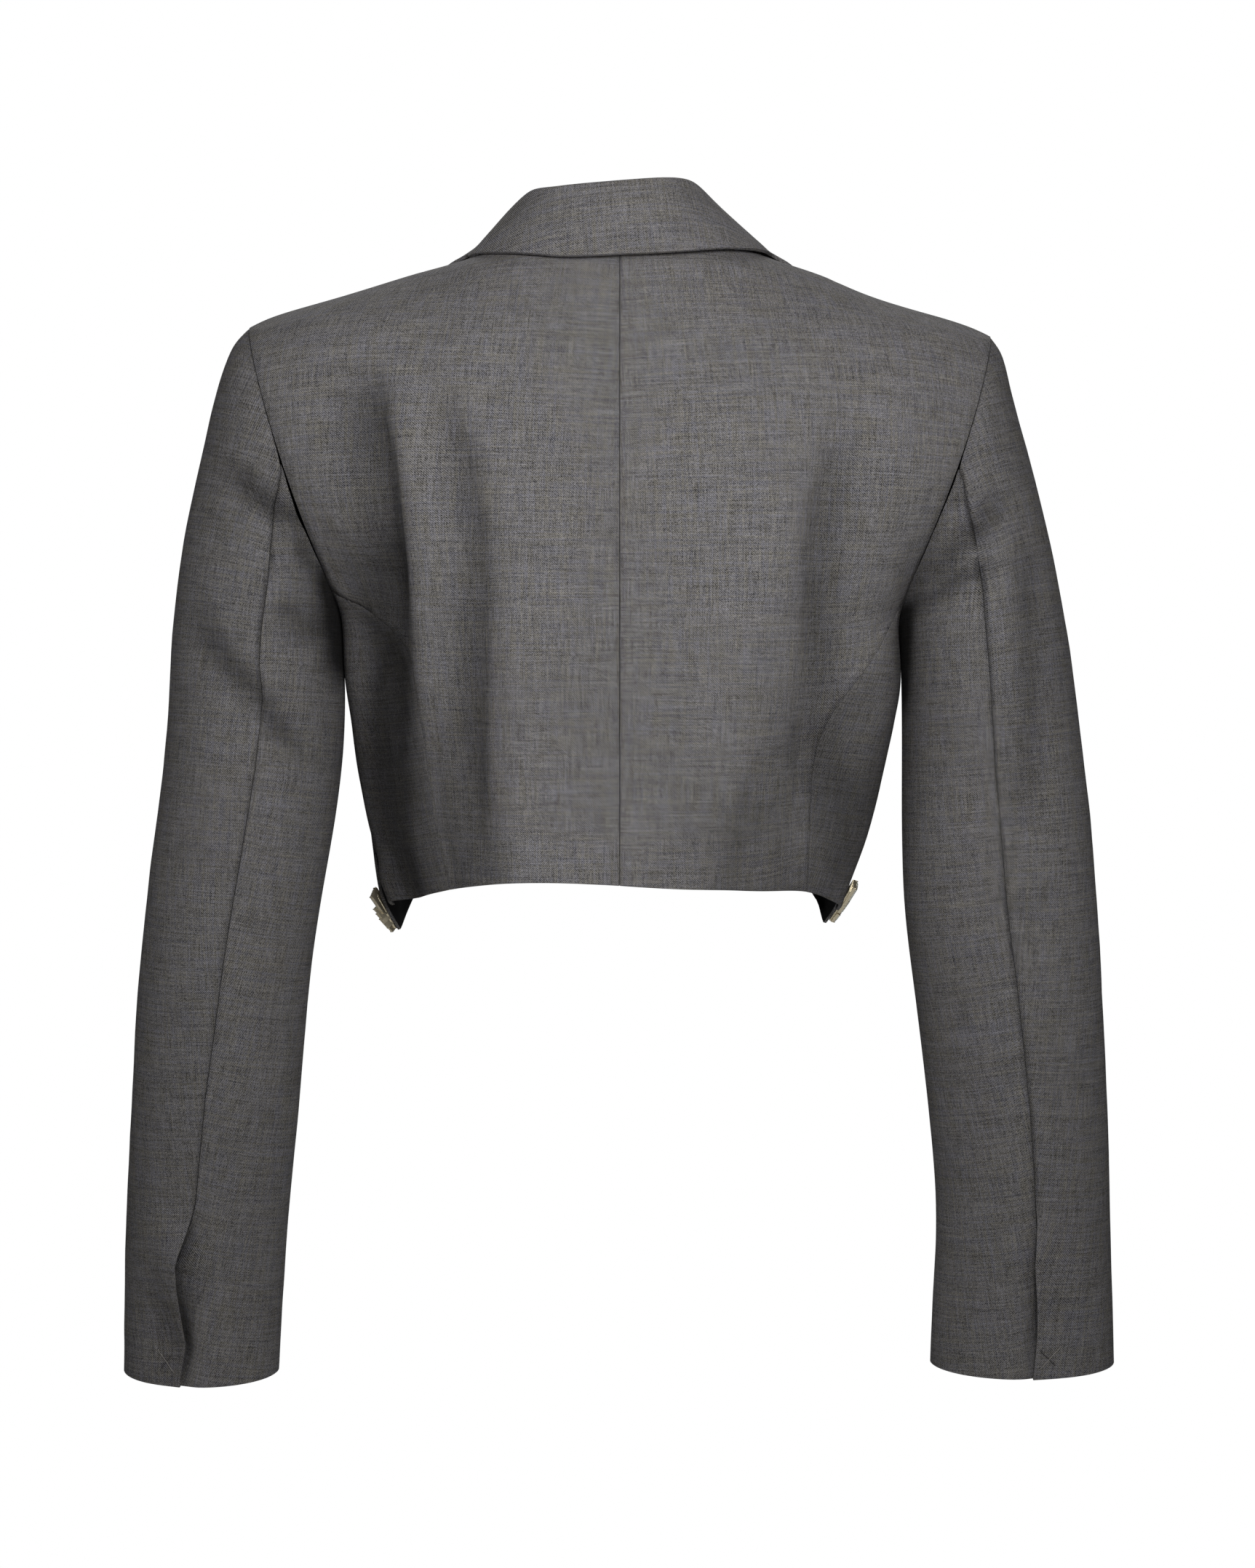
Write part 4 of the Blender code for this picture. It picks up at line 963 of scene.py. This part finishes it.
glass, start = new_finish("pale_cut_glass")
# The pale greenish tint is the glass's own; its speckle of bright white and darker brown flecks is painted
# sparkle of the facets.
painted_sparkle = speckle(start, 420.0, 2.0)
tint = painted_sparkle.node("ShaderNodeValToRGB", {"stops": (
    (0.36, (0.44, 0.40, 0.34, 1)), (0.48, (0.9, 0.89, 0.8, 1)), (0.6, (0.70, 0.77, 0.63, 1)))}, {0: painted_sparkle})
coat(tint, {"Base Color": tint, "Roughness": 0.06, "IOR": 1.6, "Transmission Weight": 0.2,
            "Coat Weight": 0.6})
metal, start = new_finish("pale_gold")
gloss = speckle(start, 900.0, 2.0) * 0.25 + 0.2
coat(gloss, {"Base Color": (0.64, 0.57, 0.42, 1), "Metallic": 0.85, "Roughness": gloss})
for side in ("left", "right"):
    strip = merged_copy("hem_jewels_" + side, "hem_strip_" + side)
    seats = stone_seats(strip, "front_" + side)
    for corner in strip.data.vertices:
        foot, _, _, gap = walls["front_" + side].find_nearest(corner.co)
        if gap > STRIP_TOP:
            corner.co = foot + (corner.co - foot) * (STRIP_TOP / gap)
    strip.data.materials.clear()
    strip.data.materials.append(metal)
    only(strip)
    bpy.ops.object.shade_smooth_by_angle(angle=radians(40))
    stones, trays, models = [], [], {}
    for seat in seats:
        size = round(seat.length, 3), round(seat.width, 3)
        if size not in models:
            models[size] = cut_stone(*size, glass), tray(*size, metal)
        placing = Matrix((seat.along, seat.across, seat.out)).transposed().to_4x4()
        for model, low, kept in zip(models[size], (STONE_SUNK, TRAY_SUNK), (stones, trays)):
            placing.translation = seat.centre - seat.out * low
            kept.append(copied(model, placing))
    for model in [part for pair in models.values() for part in pair]:
        bpy.data.objects.remove(model)
    stones = joined("hem_stones_" + side, stones)
    settings = joined("hem_settings_" + side, [strip] + trays)
    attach(stones, "root")
    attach(settings, "root")
    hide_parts("hem_jewels_" + side)

# Button: one turned from dark horn, with a raised rim, a dished face and four holes, sewn through with dark
# thread and closed in a worked buttonhole of the right front.
BUTTON = {"radius": 0.0098, "thick": 0.0030, "lift": 0.0021, "round": 0.0007,
          "hole": 0.00085, "hole_off": 0.0017, "drill": 0.012,
          "rim": 0.0014, "slope": 0.0012, "dish": 0.0011, "foot": 0.0025, "foot_high": 0.0006}
corners = np.array([v.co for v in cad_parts["button"].data.vertices])
axis = Vector(np.linalg.svd(corners - corners.mean(axis=0))[2][2])
axis = -axis if axis.y > 0 else axis
hub = Vector(corners.mean(axis=0))
hub -= axis * (hub.dot(axis) - float((corners @ np.array(axis)).min()))
placing = Matrix.Translation(hub) @ axis.to_track_quat("Z", "Y").to_matrix().to_4x4()
bpy.ops.object.select_all(action="DESELECT")
bpy.ops.mesh.primitive_cylinder_add(vertices=56, radius=BUTTON["radius"], depth=BUTTON["thick"],
                                    location=(0, 0, BUTTON["lift"]))
button = bpy.context.object
bpy.ops.object.transform_apply(location=True, rotation=True, scale=True)
pick(button, lambda face: face.normal.z > 0.9)
bpy.ops.mesh.inset(thickness=BUTTON["rim"], depth=0.0)
bpy.ops.mesh.inset(thickness=BUTTON["slope"], depth=-BUTTON["dish"])
pick(button, lambda face: face.normal.z < -0.9)
bpy.ops.mesh.inset(thickness=BUTTON["foot"], depth=BUTTON["foot_high"])
bpy.ops.object.mode_set(mode="OBJECT")
rim = button.modifiers.new("rim", "BEVEL")
rim.width, rim.segments, rim.limit_method, rim.angle_limit = BUTTON["round"], 3, "ANGLE", radians(25)
only(button)
bpy.ops.object.modifier_apply(modifier=rim.name)
for x in (-1, 1):
    for y in (-1, 1):
        bpy.ops.object.select_all(action="DESELECT")
        bpy.ops.mesh.primitive_cylinder_add(
            vertices=20, radius=BUTTON["hole"], depth=BUTTON["drill"],
            location=(x * BUTTON["hole_off"], y * BUTTON["hole_off"], BUTTON["lift"]))
        drill = bpy.context.object
        only(button)
        bore = button.modifiers.new("bore", "BOOLEAN")
        bore.operation, bore.object, bore.solver = "DIFFERENCE", drill, "EXACT"
        bpy.ops.object.modifier_apply(modifier=bore.name)
        bpy.data.objects.remove(drill)
horn, start = new_finish("dark_horn")
tint = blend(speckle(start, 260.0, 4.0, 1.2), (0.012, 0.011, 0.011, 1), (0.055, 0.048, 0.042, 1))
coat(tint, {"Base Color": tint, "Roughness": 0.3})
button.data.materials.append(horn)
button.matrix_world = placing
button = joined("button_turned", [button])
bpy.ops.object.shade_smooth_by_angle(angle=radians(35))
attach(button, "root")
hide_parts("button")

SEWING_RADIUS = 0.0003
BAR_RISE = ((-1.0, 0.0006), (-0.96, 0.0026), (-0.4, 0.0032), (0.4, 0.0032), (0.96, 0.0026), (1.0, 0.0006))
bars = []
for x in (-1, 1):
    for shift in (-0.3, 0.3):
        row = [placing @ Vector((x * BUTTON["hole_off"] + shift * MM, share * BUTTON["hole_off"], high))
               for share, high in BAR_RISE]
        bars.append(thread("bar", row, SEWING_RADIUS, thread_looks["dark"]))
sewn = joined("button_thread", bars)
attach(sewn, "root")

BUTTONHOLE = {"begin": -21.0, "end": -8.0, "pitch": 0.9, "z": -254.0, "reach": 2.3}
stitch = thread("stitch", [Vector(place) * MM for place in (
    (0, 0.15, -0.4), (0, 0.35, 0.25), (0, BUTTONHOLE["reach"] - 0.2, 0.25), (0, BUTTONHOLE["reach"], -0.4))],
    SEWING_RADIUS, thread_looks["dark"])
worked = []
x = BUTTONHOLE["begin"]
while x <= BUTTONHOLE["end"]:
    spot, out = on_cloth(("front_right",), x, BUTTONHOLE["z"], -1)
    for way in (1, -1):
        up = (Vector((0, 0, way)) - out * out.z * way).normalized()
        turn = Matrix((up.cross(out), up, out)).transposed().to_4x4()
        worked.append(copied(stitch, Matrix.Translation(spot) @ turn))
    x += BUTTONHOLE["pitch"]
bpy.data.objects.remove(stitch)
buttonhole = joined("buttonhole", worked)
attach(buttonhole, "root")
